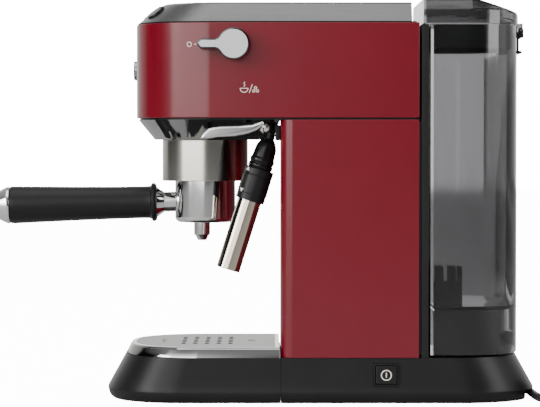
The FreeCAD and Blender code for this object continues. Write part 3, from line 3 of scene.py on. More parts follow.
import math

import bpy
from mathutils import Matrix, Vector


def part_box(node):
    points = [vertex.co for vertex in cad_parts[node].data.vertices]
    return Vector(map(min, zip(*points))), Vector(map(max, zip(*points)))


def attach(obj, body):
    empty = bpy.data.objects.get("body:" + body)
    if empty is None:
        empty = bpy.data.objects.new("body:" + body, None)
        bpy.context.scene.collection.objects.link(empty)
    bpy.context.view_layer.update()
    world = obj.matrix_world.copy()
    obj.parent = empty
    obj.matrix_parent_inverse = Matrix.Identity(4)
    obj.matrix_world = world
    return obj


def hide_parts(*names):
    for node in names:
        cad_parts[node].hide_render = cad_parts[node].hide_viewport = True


bl_info = {
    "name": "Espresso machine",
    "version": (1, 0, 0),
    "blender": (4, 5, 0),
    "location": "View3D > Sidebar > Espresso",
    "description": "Finished pieces, materials and studio for a slim espresso machine",
    "category": "Object",
}

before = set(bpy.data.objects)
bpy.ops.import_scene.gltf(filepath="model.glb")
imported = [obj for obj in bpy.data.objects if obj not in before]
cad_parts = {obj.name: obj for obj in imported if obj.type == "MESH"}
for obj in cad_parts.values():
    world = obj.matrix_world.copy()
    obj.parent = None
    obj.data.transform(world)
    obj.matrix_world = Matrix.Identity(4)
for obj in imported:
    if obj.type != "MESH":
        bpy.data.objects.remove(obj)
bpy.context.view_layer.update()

# ---------------------------------------------------------------- places, taken from the frame

X, Y, Z = Vector((1, 0, 0)), Vector((0, 1, 0)), Vector((0, 0, 1))
HEAD_LOW, HEAD_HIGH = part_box("head_shell")
COLUMN_LOW, COLUMN_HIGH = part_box("column_shell")
TRAY_LOW, TRAY_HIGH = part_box("drip_tray")
BASE_LOW, BASE_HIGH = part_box("base_housing")
RIM_LOW, RIM_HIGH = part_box("tray_rim")
SLEEVE_LOW, SLEEVE_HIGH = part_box("group_sleeve")
BOWL_LOW, BOWL_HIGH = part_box("portafilter_bowl")
SPOUT_LOW, SPOUT_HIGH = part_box("spout")
KNOB_LOW, KNOB_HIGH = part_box("steam_knob")
KEY_LOW, KEY_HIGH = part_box("power_key")
BADGE_LOW, BADGE_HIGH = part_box("front_badge")
COIL_LOW, COIL_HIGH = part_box("cord_coil")
PLUG_LOW, PLUG_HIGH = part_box("plug")
WAND_LOW, WAND_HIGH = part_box("wand_collar")

GROUP = Vector((0, (SLEEVE_LOW.y + SLEEVE_HIGH.y) / 2, 0))
SPOUT = Vector((0, (SPOUT_LOW.y + SPOUT_HIGH.y) / 2, 0))
COIL = Vector(((COIL_LOW.x + COIL_HIGH.x) / 2, (COIL_LOW.y + COIL_HIGH.y) / 2, 0))

# the handle drops a little towards the user, and the wand leans forward
HANDLE_DROP = math.radians(1.2)
HANDLE_ROOT = GROUP + Vector((0, 0, 0.1508))
HANDLE_WAY = Vector((0, -math.cos(HANDLE_DROP), -math.sin(HANDLE_DROP)))
WAND_LEAN = math.radians(17.5)
WAND_TOP = Vector(((WAND_LOW.x + WAND_HIGH.x) / 2, -0.0474, 0.1766))
WAND_WAY = Vector((0, -math.sin(WAND_LEAN), -math.cos(WAND_LEAN)))

# the cord's route along the surface, from the gland to the coil
CORD_POINTS = [
    (0.0050, 0.1604, 0.0045), (0.0210, 0.1620, 0.0035), (0.0410, 0.1629, 0.0033),
    (0.0600, 0.1640, 0.0033), (0.0762, 0.1719, 0.0033), (0.0878, 0.1857, 0.0033),
    (0.0927, 0.2030, 0.0033), (0.0921, 0.2210, 0.0033),
]

# ---------------------------------------------------------------- settings


class MachineSizes(bpy.types.PropertyGroup):
    panel_wall: bpy.props.FloatProperty(
        name="Panel", description="Thickness of the painted panels", default=0.002, unit="LENGTH")
    panel_edge: bpy.props.FloatProperty(
        name="Panel edge", description="Rounding of the painted panels' edges",
        default=0.0006, unit="LENGTH")
    moulded_edge: bpy.props.FloatProperty(
        name="Moulded edge", description="Rounding of moulded edges", default=0.0006, unit="LENGTH")
    head_bow: bpy.props.FloatProperty(
        name="Head bow", description="Radius of the head's bowed front", default=0.237, unit="LENGTH")
    head_corner: bpy.props.FloatProperty(
        name="Head corner", description="Radius of the head's front corners", default=0.058, unit="LENGTH")
    base_bow: bpy.props.FloatProperty(
        name="Base bow", description="Radius of the base's bowed ends", default=0.205, unit="LENGTH")
    base_corner: bpy.props.FloatProperty(
        name="Base corner", description="Radius of the base's corners", default=0.055, unit="LENGTH")
    column_corner: bpy.props.FloatProperty(
        name="Column corner", description="Radius of the column's front corners",
        default=0.008, unit="LENGTH")
    base_wall: bpy.props.FloatProperty(
        name="Base wall", description="Wall of the base and the drip tray", default=0.0025, unit="LENGTH")
    deck_lean: bpy.props.FloatProperty(
        name="Deck lean", description="How far the base's sides lean in", default=0.0014, unit="LENGTH")
    deck_nose: bpy.props.FloatProperty(
        name="Deck nose", description="How far the base's ends lean in", default=0.0145, unit="LENGTH")
    cord_width: bpy.props.FloatProperty(
        name="Cord", description="Diameter of the mains cord", default=0.0064, unit="LENGTH")
    print_height: bpy.props.FloatProperty(
        name="Print", description="Thickness of a printed mark", default=0.00008, unit="LENGTH")


class MachineColours(bpy.types.PropertyGroup):
    paint: bpy.props.FloatVectorProperty(
        name="Paint", description="Colour of the painted panels", subtype="COLOR", size=3,
        default=(0.135, 0.0001, 0.0080), min=0, max=1)
    black: bpy.props.FloatVectorProperty(
        name="Black", description="Colour of the moulded base", subtype="COLOR", size=3,
        default=(0.0095, 0.0095, 0.0098), min=0, max=1)
    plate: bpy.props.FloatVectorProperty(
        name="Plate", description="Colour of the warming plate", subtype="COLOR", size=3,
        default=(0.16, 0.16, 0.16), min=0, max=1)
    smoke: bpy.props.FloatVectorProperty(
        name="Smoke", description="Tint of the clear tank", subtype="COLOR", size=3,
        default=(0.40, 0.40, 0.41), min=0, max=1)
    ink: bpy.props.FloatVectorProperty(
        name="Ink", description="Colour of the printed marks", subtype="COLOR", size=3,
        default=(0.80, 0.72, 0.66), min=0, max=1)


# ---------------------------------------------------------------- ways of making


def clear():
    """Leave edit mode and select nothing."""
    if bpy.context.mode != "OBJECT":
        bpy.ops.object.mode_set(mode="OBJECT")
    bpy.ops.object.select_all(action="DESELECT")


def pick(thing):
    """Make one object the only one selected."""
    clear()
    thing.select_set(True)
    bpy.context.view_layer.objects.active = thing


def edit(thing, kind="VERT"):
    """Open an object for editing, with all of its mesh selected."""
    pick(thing)
    bpy.ops.object.mode_set(mode="EDIT")
    bpy.ops.mesh.select_mode(type=kind)
    bpy.ops.mesh.select_all(action="SELECT")


def edit_faces(thing, wanted):
    """Open an object for editing, with only the faces selected that pass a test."""
    edit(thing, "FACE")
    bpy.ops.mesh.select_all(action="DESELECT")
    bpy.ops.object.mode_set(mode="OBJECT")
    for face in thing.data.polygons:
        face.select = wanted(face)
    bpy.ops.object.mode_set(mode="EDIT")


def trace(name, points):
    """A line drawn from point to point, with its last point selected."""
    clear()
    bpy.ops.mesh.primitive_plane_add(size=0.001, location=(0, 0, 0))
    thing = bpy.context.object
    thing.name = name
    edit(thing)
    bpy.ops.mesh.merge(type="CENTER")
    points = [Vector(point) for point in points]
    bpy.ops.transform.translate(value=points[0])
    for before, after in zip(points, points[1:]):
        bpy.ops.mesh.extrude_region_move(TRANSFORM_OT_translate={"value": after - before})
    return thing


def closed(thing):
    """Fill the line being traced, which leaves a face selected."""
    bpy.ops.mesh.select_all(action="SELECT")
    bpy.ops.mesh.edge_face_add()
    return thing


def arc(x, y, radius, start, end, steps):
    angles = [start + (end - start) * step / steps for step in range(steps + 1)]
    return [(x + radius * math.cos(angle), y + radius * math.sin(angle)) for angle in angles]


def bowed_plan(half, straight, nose, bow, corner):
    """Straight sides, round corners and one bowed end, from the right side round to the left."""
    way = math.copysign(1, nose - straight)
    turn = math.acos((half - corner) / (bow - corner))
    bow_y = nose - way * bow
    corner_y = bow_y + way * (bow - corner) * math.sin(turn)
    right = [(half, straight)]
    right += arc(half - corner, corner_y, corner, 0, way * turn, 14)
    right += arc(0, bow_y, bow, way * turn, way * math.pi / 2, 12)[1:]
    return right + [(-x, y) for x, y in reversed(right[:-1])]


def flat_plan(half, straight, front, corner):
    """Straight sides, round corners and a flat front."""
    right = [(half, straight)] + arc(half - corner, front + corner, corner, 0, -math.pi / 2, 10)
    return right + [(-x, y) for x, y in reversed(right)]


def rise(plan, rings):
    """Extrude what is selected from ring to ring.

    A ring has a height, a half width, a straight end and a nose.
    """
    half, straight = plan[0]
    nose = plan[len(plan) // 2][1]
    height, half_now, straight_now, nose_now = rings[0]
    bpy.ops.transform.resize(
        value=(half_now / half, (nose_now - straight_now) / (nose - straight), 1),
        center_override=(0, straight, 0))
    bpy.ops.transform.translate(value=(0, straight_now - straight, 0))
    for ring in rings[1:]:
        up = ring[0] - height
        bpy.ops.mesh.extrude_region_move(TRANSFORM_OT_translate={"value": (0, 0, up)})
        share = (ring[3] - ring[2]) / (nose_now - straight_now)
        bpy.ops.transform.resize(value=(ring[1] / half_now, share, 1), center_override=(0, straight_now, 0))
        bpy.ops.transform.translate(value=(0, ring[2] - straight_now, 0))
        height, half_now, straight_now, nose_now = ring


def raised(name, plan, rings, solid=True):
    """A plan raised through rings, as a closed solid or as the wall along the plan's line."""
    thing = trace(name, [(x, y, rings[0][0]) for x, y in plan])
    if solid:
        closed(thing)
    else:
        bpy.ops.mesh.select_all(action="SELECT")
    rise(plan, rings)
    return thing


def opened(thing, wanted):
    """Take away the faces that pass a test."""
    edit_faces(thing, wanted)
    bpy.ops.mesh.delete(type="FACE")
    clear()


def outwards(thing):
    edit(thing)
    bpy.ops.mesh.remove_doubles(threshold=0.000001)
    bpy.ops.mesh.normals_make_consistent(inside=False)
    clear()


def apply(thing, kind, **settings):
    """Put a modifier on an object and apply it."""
    pick(thing)
    modifier = thing.modifiers.new(kind.lower(), kind)
    for name, value in settings.items():
        setattr(modifier, name, value)
    bpy.ops.object.modifier_apply(modifier=modifier.name)


def walled(thing, wall):
    """Give a surface whose faces point outwards a wall on its inside."""
    outwards(thing)
    apply(thing, "SOLIDIFY", thickness=wall, offset=-1, use_even_offset=True)


def turned(name, root, way, profile, steps=72):
    """A profile of distances and radii spun round an axis."""
    side = X if abs(way.x) < 0.5 else Z
    points = [root + way * along + side * radius for along, radius in profile]
    thing = trace(name, points)
    bpy.ops.mesh.select_all(action="SELECT")
    bpy.ops.mesh.spin(steps=steps, angle=math.tau, center=root, axis=way)
    outwards(thing)
    return thing


def turned_ring(name, root, way, profile, steps=72):
    """As turned, for a profile that is a closed loop off the axis."""
    return turned(name, root, way, [*profile, profile[0]], steps)


def rounded(thing, edge, segments=3):
    apply(thing, "BEVEL", width=edge, segments=segments, limit_method="ANGLE",
          angle_limit=math.radians(28), use_clamp_overlap=True)


def block(name, low, high):
    """A box between two corners, with its origin at the frame's."""
    clear()
    low, high = Vector(low), Vector(high)
    bpy.ops.mesh.primitive_cube_add(size=1, location=(low + high) / 2)
    thing = bpy.context.object
    thing.name = name
    thing.scale = high - low
    bpy.ops.object.transform_apply(location=True, rotation=True, scale=True)
    return thing


def cut_box(thing, low, high):
    """Take a box-shaped piece out of an object."""
    cutter = block("cutter", low, high)
    apply(thing, "BOOLEAN", object=cutter, operation="DIFFERENCE", solver="EXACT")
    bpy.data.objects.remove(cutter)


def copied(node, edge=0.0, name=None):
    """A joined-up copy of a CAD node's mesh, with its flat faces whole and its edges rounded."""
    clear()
    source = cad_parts[node]
    thing = bpy.data.objects.new(name or f"{node}_finished", source.data.copy())
    bpy.context.scene.collection.objects.link(thing)
    edit(thing)
    bpy.ops.mesh.remove_doubles(threshold=0.000002)
    bpy.ops.mesh.dissolve_limited(angle_limit=math.radians(0.6))
    clear()
    if edge:
        rounded(thing, edge, 2)
    return thing


def dressed(thing, slot, body, *nodes, look=None):
    """Shade a finished piece, give it its material, and tie it to its body and the nodes it stands for."""
    pick(thing)
    bpy.ops.object.shade_smooth_by_angle(angle=math.radians(34))
    apply(thing, "WEIGHTED_NORMAL", keep_sharp=True)
    thing.data.materials.clear()
    thing.data.materials.append(finish_of(look or slot))
    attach(thing, body)
    if nodes:
        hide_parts(*nodes)
    return thing


def joined(name, things):
    clear()
    for thing in things:
        thing.select_set(True)
    bpy.context.view_layer.objects.active = things[0]
    bpy.ops.object.join()
    things[0].name = name
    return things[0]


def stroke(name, points, width):
    """A flat line of an even width, drawn in the plane across X. Its points are Y and Z."""
    path = [Vector(point) for point in points]
    left, right = [], []
    for n, point in enumerate(path):
        along = (path[min(n + 1, len(path) - 1)] - path[max(n - 1, 0)]).normalized()
        across = Vector((-along.y, along.x)) * width / 2
        left.append(point + across)
        right.append(point - across)
    outline = left + right[::-1]
    return closed(trace(name, [(MARK_PLANE, y, z) for y, z in outline]))


def hoop(name, y, z, radius, width):
    """A flat ring in the plane across X."""
    root = Vector((MARK_PLANE, y, z))
    thing = trace(name, [root + Z * (radius - width / 2), root + Z * (radius + width / 2)])
    bpy.ops.mesh.select_all(action="SELECT")
    bpy.ops.mesh.spin(steps=32, angle=math.tau, center=root, axis=X)
    outwards(thing)
    return thing


def printed(name, shapes, surface, slot, body):
    """Lay flat shapes on a surface as a thin raised print."""
    height = bpy.context.scene.machine_sizes.print_height
    thing = joined(name, shapes)
    edit(thing)
    bpy.ops.mesh.quads_convert_to_tris()
    bpy.ops.mesh.subdivide(number_cuts=1)
    clear()
    apply(thing, "SHRINKWRAP", target=surface, wrap_method="NEAREST_SURFACEPOINT",
          wrap_mode="ABOVE_SURFACE", offset=height)
    apply(thing, "SOLIDIFY", thickness=height, offset=0)
    return dressed(thing, slot, body, look="ink")


MARK_PLANE = 0.08

# ---------------------------------------------------------------- shared surface effects


def socket(group, name, way, kind, default=None):
    made = group.interface.new_socket(name=name, in_out=way, socket_type=kind)
    if default is not None:
        made.default_value = default


def surface_effect(name, roughness):
    """An empty effect, with the sockets that both effects have."""
    group = bpy.data.node_groups.new(name, "ShaderNodeTree")
    socket(group, "Place", "INPUT", "NodeSocketVector")
    socket(group, "Roughness", "INPUT", "NodeSocketFloat", roughness)
    socket(group, "Spread", "INPUT", "NodeSocketFloat", 0.1)
    for result in ("Shade", "Roughness", "Height"):
        socket(group, result, "OUTPUT", "NodeSocketFloat")
    return group


def streaks():
    """Fine lines drawn out along one direction, for brushed and satin metal."""
    if "streaks" in bpy.data.node_groups:
        return bpy.data.node_groups["streaks"]
    group = surface_effect("streaks", 0.3)
    nodes, links = group.nodes, group.links
    given, result = nodes.new("NodeGroupInput"), nodes.new("NodeGroupOutput")
    fine, coarse = nodes.new("ShaderNodeTexNoise"), nodes.new("ShaderNodeTexNoise")
    fine.inputs["Scale"].default_value, fine.inputs["Detail"].default_value = 1.0, 5.0
    coarse.inputs["Scale"].default_value, coarse.inputs["Detail"].default_value = 0.16, 3.0
    blend = nodes.new("ShaderNodeMath")
    blend.operation = "MULTIPLY_ADD"
    blend.inputs[1].default_value = 0.6
    half = nodes.new("ShaderNodeMath")
    half.operation = "MULTIPLY"
    half.inputs[1].default_value = 0.4
    centred = nodes.new("ShaderNodeMath")
    centred.operation = "SUBTRACT"
    centred.inputs[1].default_value = 0.5
    spread = nodes.new("ShaderNodeMath")
    spread.operation = "MULTIPLY_ADD"
    links.new(given.outputs["Place"], fine.inputs["Vector"])
    links.new(given.outputs["Place"], coarse.inputs["Vector"])
    links.new(coarse.outputs["Fac"], half.inputs[0])
    links.new(fine.outputs["Fac"], blend.inputs[0])
    links.new(half.outputs[0], blend.inputs[2])
    links.new(blend.outputs[0], centred.inputs[0])
    links.new(centred.outputs[0], spread.inputs[0])
    links.new(given.outputs["Spread"], spread.inputs[1])
    links.new(given.outputs["Roughness"], spread.inputs[2])
    links.new(blend.outputs[0], result.inputs["Shade"])
    links.new(spread.outputs[0], result.inputs["Roughness"])
    links.new(fine.outputs["Fac"], result.inputs["Height"])
    return group


def grain():
    """Fine even grain with soft cloudy wear, for moulded plastic, rubber, paint and castings."""
    if "grain" in bpy.data.node_groups:
        return bpy.data.node_groups["grain"]
    group = surface_effect("grain", 0.4)
    nodes, links = group.nodes, group.links
    given, result = nodes.new("NodeGroupInput"), nodes.new("NodeGroupOutput")
    fine, cloud = nodes.new("ShaderNodeTexNoise"), nodes.new("ShaderNodeTexNoise")
    fine.inputs["Scale"].default_value, fine.inputs["Detail"].default_value = 1.0, 2.0
    cloud.inputs["Scale"].default_value, cloud.inputs["Detail"].default_value = 0.012, 4.0
    mixed = nodes.new("ShaderNodeMath")
    mixed.operation = "MULTIPLY_ADD"
    mixed.inputs[1].default_value = 0.35
    most = nodes.new("ShaderNodeMath")
    most.operation = "MULTIPLY"
    most.inputs[1].default_value = 0.65
    centred = nodes.new("ShaderNodeMath")
    centred.operation = "SUBTRACT"
    centred.inputs[1].default_value = 0.5
    spread = nodes.new("ShaderNodeMath")
    spread.operation = "MULTIPLY_ADD"
    links.new(given.outputs["Place"], fine.inputs["Vector"])
    links.new(given.outputs["Place"], cloud.inputs["Vector"])
    links.new(cloud.outputs["Fac"], most.inputs[0])
    links.new(fine.outputs["Fac"], mixed.inputs[0])
    links.new(most.outputs[0], mixed.inputs[2])
    links.new(cloud.outputs["Fac"], centred.inputs[0])
    links.new(centred.outputs[0], spread.inputs[0])
    links.new(given.outputs["Spread"], spread.inputs[1])
    links.new(given.outputs["Roughness"], spread.inputs[2])
    links.new(mixed.outputs[0], result.inputs["Shade"])
    links.new(spread.outputs[0], result.inputs["Roughness"])
    links.new(fine.outputs["Fac"], result.inputs["Height"])
    return group


# ---------------------------------------------------------------- materials

# how many waves of a pattern there are in a metre, along X, Y and Z
EVEN = (2600, 2600, 2600)
CAST = (1500, 1500, 1500)
BOARD = (1200, 1200, 1200)
PLATED = (900, 900, 900)
CLEAR = (300, 300, 300)
ROUND_AXIS = (140, 140, 9000)
ALONG_Y = (5200, 110, 5200)


def finish(name, dark, light, metallic, roughness, spread, effect, scale, bump, **plain):
    """A procedural material: two shades, a roughness that wanders, and a relief."""
    made = bpy.data.materials.new(f"{name}_finish")
    made.use_nodes = True
    nodes, links = made.node_tree.nodes, made.node_tree.links
    shader = nodes["Principled BSDF"]
    shader.inputs["Metallic"].default_value = metallic
    for socket_name, value in plain.items():
        shader.inputs[socket_name.replace("_", " ")].default_value = value
    place, mapping = nodes.new("ShaderNodeTexCoord"), nodes.new("ShaderNodeMapping")
    mapping.inputs["Scale"].default_value = scale
    surface = nodes.new("ShaderNodeGroup")
    surface.node_tree = effect()
    surface.inputs["Roughness"].default_value = roughness
    surface.inputs["Spread"].default_value = spread
    shades = nodes.new("ShaderNodeValToRGB")
    shades.color_ramp.elements[0].position, shades.color_ramp.elements[0].color = 0.3, (*dark, 1)
    shades.color_ramp.elements[1].position, shades.color_ramp.elements[1].color = 0.7, (*light, 1)
    relief = nodes.new("ShaderNodeBump")
    relief.inputs["Distance"].default_value = 0.00004
    relief.inputs["Strength"].default_value = bump
    links.new(place.outputs["Object"], mapping.inputs["Vector"])
    links.new(mapping.outputs["Vector"], surface.inputs["Place"])
    links.new(surface.outputs["Shade"], shades.inputs["Fac"])
    links.new(shades.outputs["Color"], shader.inputs["Base Color"])
    links.new(surface.outputs["Roughness"], shader.inputs["Roughness"])
    if bump:
        links.new(surface.outputs["Height"], relief.inputs["Height"])
        links.new(relief.outputs["Normal"], shader.inputs["Normal"])
    return made


def near(colour, share):
    """A colour made darker or lighter by a share."""
    return tuple(min(1, part * share) for part in colour)


def red_paint(name):
    paint = bpy.context.scene.machine_colours.paint
    return finish(name, near(paint, 0.94), near(paint, 1.06), 0, 0.40, 0.05, grain, EVEN, 0.03,
                  Specular_IOR_Level=0.1, Coat_Weight=0.85, Coat_Roughness=0.16)


def black_plastic(name):
    black = bpy.context.scene.machine_colours.black
    return finish(name, near(black, 0.85), near(black, 1.2), 0, 0.36, 0.08, grain, EVEN, 0.06,
                  Specular_IOR_Level=0.2)


def dark_plastic(name):
    black = bpy.context.scene.machine_colours.black
    return finish(name, near(black, 0.4), near(black, 0.7), 0, 0.24, 0.06, grain, EVEN, 0.03,
                  Specular_IOR_Level=0.2)


def chrome(name):
    return finish(name, (0.70, 0.70, 0.70), (0.76, 0.76, 0.76), 1, 0.055, 0.05, grain, PLATED, 0)


def brushed_steel(name):
    return finish(name, (0.60, 0.58, 0.53), (0.68, 0.66, 0.60), 1, 0.17, 0.05, streaks, ROUND_AXIS, 0.05)


def wand_steel(name):
    return finish(name, (0.44, 0.385, 0.31), (0.54, 0.48, 0.40), 1, 0.11, 0.04, grain, EVEN, 0.02)


# Chrome plastic much darker than plain chrome, so what it reflects comes out dark: painted dark reflection
# on the under-head cover, the badge and the tray rim.
def dim_reflection_chrome(name):
    return finish(name, (0.34, 0.34, 0.34), (0.38, 0.38, 0.38), 1, 0.06, 0.04, grain, PLATED, 0)


def satin_steel(name):
    plate = bpy.context.scene.machine_colours.plate
    return finish(name, near(plate, 0.86), near(plate, 1.14), 1, 0.36, 0.14, streaks, ALONG_Y, 0.25)


def grate_steel(name):
    return finish(name, (0.060, 0.060, 0.060), (0.080, 0.080, 0.080), 1, 0.33, 0.10, streaks, ALONG_Y, 0.15)


# Black plastic darker and less glossy than the rest: painted shade for the tank seat and filter cup, which
# sit in shade inside the tank.
def shade_painted_black(name):
    return finish(name, (0.0008, 0.0008, 0.0009), (0.0014, 0.0014, 0.0015), 0, 0.5, 0.05, grain, EVEN, 0,
                  Specular_IOR_Level=0.04)


def handle_grey(name):
    return finish(name, (0.060, 0.061, 0.061), (0.072, 0.073, 0.073), 0, 0.4, 0.05, grain, EVEN, 0.02)


def knob_edge(name):
    return finish(name, (0.10, 0.10, 0.10), (0.12, 0.12, 0.12), 1, 0.10, 0.03, grain, EVEN, 0)


def knob_satin(name):
    return finish(name, (0.58, 0.59, 0.595), (0.66, 0.67, 0.675), 0.75, 0.38, 0.08, grain, EVEN, 0.05)


def cast_aluminium(name):
    return finish(name, (0.42, 0.42, 0.42), (0.60, 0.60, 0.60), 1, 0.48, 0.2, grain, CAST, 0.6)


def brass_part(name):
    return finish(name, (0.55, 0.38, 0.14), (0.66, 0.48, 0.2), 1, 0.3, 0.15, streaks, ROUND_AXIS, 0.2)


def seal_rubber(name):
    return finish(name, (0.012, 0.012, 0.012), (0.022, 0.022, 0.022), 0, 0.72, 0.1, grain, EVEN, 0.4)


def hose_silicone(name):
    return finish(name, (0.62, 0.62, 0.6), (0.72, 0.72, 0.7), 0, 0.42, 0.1, grain, EVEN, 0.15)


def smoke_clear(name):
    smoke = bpy.context.scene.machine_colours.smoke
    return finish(name, near(smoke, 0.98), near(smoke, 1.02), 0, 0.05, 0.03, grain, CLEAR, 0,
                  Transmission_Weight=1.0, IOR=1.49)


def smoke_dark(name):
    smoke = bpy.context.scene.machine_colours.smoke
    return finish(name, near(smoke, 0.50), near(smoke, 0.56), 0, 0.05, 0.03, grain, CLEAR, 0,
                  Transmission_Weight=1.0, IOR=1.49)


def red_float(name):
    return finish(name, (0.5, 0.02, 0.015), (0.6, 0.035, 0.025), 0, 0.35, 0.1, grain, EVEN, 0.15)


def circuit_green(name):
    return finish(name, (0.01, 0.09, 0.03), (0.02, 0.14, 0.05), 0, 0.35, 0.15, grain, BOARD, 0.2)


def cord_black(name):
    return finish(name, (0.012, 0.012, 0.012), (0.02, 0.02, 0.02), 0, 0.5, 0.1, grain, EVEN, 0.3)


def ink(name):
    ink_colour = bpy.context.scene.machine_colours.ink
    return finish(name, near(ink_colour, 0.96), near(ink_colour, 1.02), 0, 0.5, 0.1, grain, EVEN, 0.1)


FINISHES = {
    "red_paint": red_paint, "black_plastic": black_plastic, "dark_plastic": dark_plastic,
    "chrome_plastic": dim_reflection_chrome, "chrome_plate": chrome, "brushed_steel": brushed_steel,
    "wand_steel": wand_steel,
    "satin_steel": satin_steel, "cast_aluminium": cast_aluminium, "brass_part": brass_part,
    "seal_rubber": seal_rubber, "hose_silicone": hose_silicone, "smoke_clear": smoke_clear,
    "smoke_dark": smoke_dark,
    "red_float": red_float, "circuit_green": circuit_green, "cord_black": cord_black,
    "ink": ink, "knob_satin": knob_satin, "knob_edge": knob_edge, "grate_steel": grate_steel,
    "shade_painted_black": shade_painted_black, "handle_grey": handle_grey,
}


def finish_of(slot):
    """The material of a slot, made the first time it is asked for."""
    return bpy.data.materials.get(f"{slot}_finish") or FINISHES[slot](slot)


# ---------------------------------------------------------------- studio


class ESPRESSO_OT_studio(bpy.types.Operator):
    """Set the camera, lay the floor and hang the lights"""

    bl_idname = "espresso.studio"
    bl_label = "Studio"

    def execute(self, context):
        set_camera()
        lay_floor()
        hang_lights()
        light_world()
        return {"FINISHED"}


def set_camera():
    """A long lens that looks at the machine's right side."""
    clear()
    eye, aim = Vector((1.975, -0.0396, 0.199)), Vector((0, -0.0396, 0.1488))
    bpy.ops.object.camera_add(location=eye, rotation=(aim - eye).to_track_quat("-Z", "Y").to_euler())
    camera = bpy.context.object
    camera.name = "side_camera"
    camera.data.sensor_width = 36
    camera.data.lens = 169.07
    camera.data.clip_end = 40
    bpy.context.scene.camera = camera


def lay_floor():
    clear()
    bpy.ops.mesh.primitive_plane_add(size=16, location=(0, 0, 0))
    floor = bpy.context.object
    floor.name = "studio_floor"
    pale = bpy.data.materials.new("pale_floor")
    pale.use_nodes = True
    shader = pale.node_tree.nodes["Principled BSDF"]
    shader.inputs["Base Color"].default_value = (0.48, 0.48, 0.48, 1)
    shader.inputs["Roughness"].default_value = 0.75
    shader.inputs["Emission Color"].default_value = (1, 1, 1, 1)
    seen = pale.node_tree.nodes.new("ShaderNodeLightPath")
    lift = pale.node_tree.nodes.new("ShaderNodeMath")
    lift.operation = "MULTIPLY"
    lift.inputs[1].default_value = 14
    pale.node_tree.links.new(seen.outputs["Is Camera Ray"], lift.inputs[0])
    pale.node_tree.links.new(lift.outputs[0], shader.inputs["Emission Strength"])
    floor.data.materials.append(pale)


def hang_lights():
    """Three soft boxes: over the machine, before it and behind it, all on its right side."""
    for name, place, aim, size, power in (
        ("top_box", (0.3, -0.1, 1.7), (0, 0, 0.1), 1.4, 13),
        ("front_box", (0.9, -1.6, 0.8), (0, -0.03, 0.15), 0.7, 15),
        ("back_box", (0.7, 1.6, 0.7), (0, 0.10, 0.15), 0.8, 11),
    ):
        clear()
        turn = (Vector(aim) - Vector(place)).to_track_quat("-Z", "Y").to_euler()
        bpy.ops.object.light_add(type="AREA", location=place, rotation=turn)
        light = bpy.context.object
        light.name = name
        light.data.size = size
        light.data.energy = power


def light_world():
    """Surroundings in bright bands with dark gaps between, and plain white where the camera looks past."""
    world = bpy.data.worlds.new("studio_world")
    bpy.context.scene.world = world
    world.use_nodes = True
    nodes, links = world.node_tree.nodes, world.node_tree.links
    sky = nodes["Background"]
    way, parts = nodes.new("ShaderNodeTexCoord"), nodes.new("ShaderNodeSeparateXYZ")
    turn, share = nodes.new("ShaderNodeMath"), nodes.new("ShaderNodeMath")
    turn.operation = "ARCTAN2"
    share.operation = "MULTIPLY_ADD"
    share.inputs[1].default_value, share.inputs[2].default_value = 1 / math.tau, 0.5
    bands = nodes.new("ShaderNodeValToRGB")
    # each stop is an angle round the machine in degrees, 0 being its right side, and a brightness
    stops = [(-180, 2.0), (-150, 0.9), (-124, 0.5), (-116, 0.01), (-80, 0.01), (-74, 0.25),
             (-66, 0.5), (-60, 4.6), (-6, 4.6), (-1, 0.25), (6, 0.02), (46, 0.02),
             (52, 1.3), (98, 1.3), (110, 0.5), (150, 0.9), (179, 2.0)]
    ramp = bands.color_ramp
    while len(ramp.elements) < len(stops):
        ramp.elements.new(0.5)
    for element, (angle, level) in zip(ramp.elements, stops):
        element.position = angle / 360 + 0.5
        element.color = (level, level, level * 0.985, 1)
    over = nodes.new("ShaderNodeMapRange")
    over.inputs["From Min"].default_value, over.inputs["From Max"].default_value = 0.45, 0.75
    above = nodes.new("ShaderNodeMix")
    above.data_type = "RGBA"
    above.inputs["B"].default_value = (0.45, 0.45, 0.45, 1)
    seen, paper = nodes.new("ShaderNodeLightPath"), nodes.new("ShaderNodeBackground")
    paper.inputs["Color"].default_value = (1, 1, 1, 1)
    paper.inputs["Strength"].default_value = 18
    choice = nodes.new("ShaderNodeMixShader")
    links.new(way.outputs["Generated"], parts.inputs[0])
    links.new(parts.outputs["Y"], turn.inputs[0])
    links.new(parts.outputs["X"], turn.inputs[1])
    links.new(turn.outputs[0], share.inputs[0])
    links.new(share.outputs[0], bands.inputs["Fac"])
    links.new(parts.outputs["Z"], over.inputs["Value"])
    links.new(over.outputs["Result"], above.inputs["Factor"])
    links.new(bands.outputs["Color"], above.inputs["A"])
    links.new(above.outputs["Result"], sky.inputs["Color"])
    links.new(seen.outputs["Is Camera Ray"], choice.inputs["Fac"])
    links.new(sky.outputs[0], choice.inputs[1])
    links.new(paper.outputs[0], choice.inputs[2])
    links.new(choice.outputs[0], nodes["World Output"].inputs["Surface"])


# ---------------------------------------------------------------- mains cord


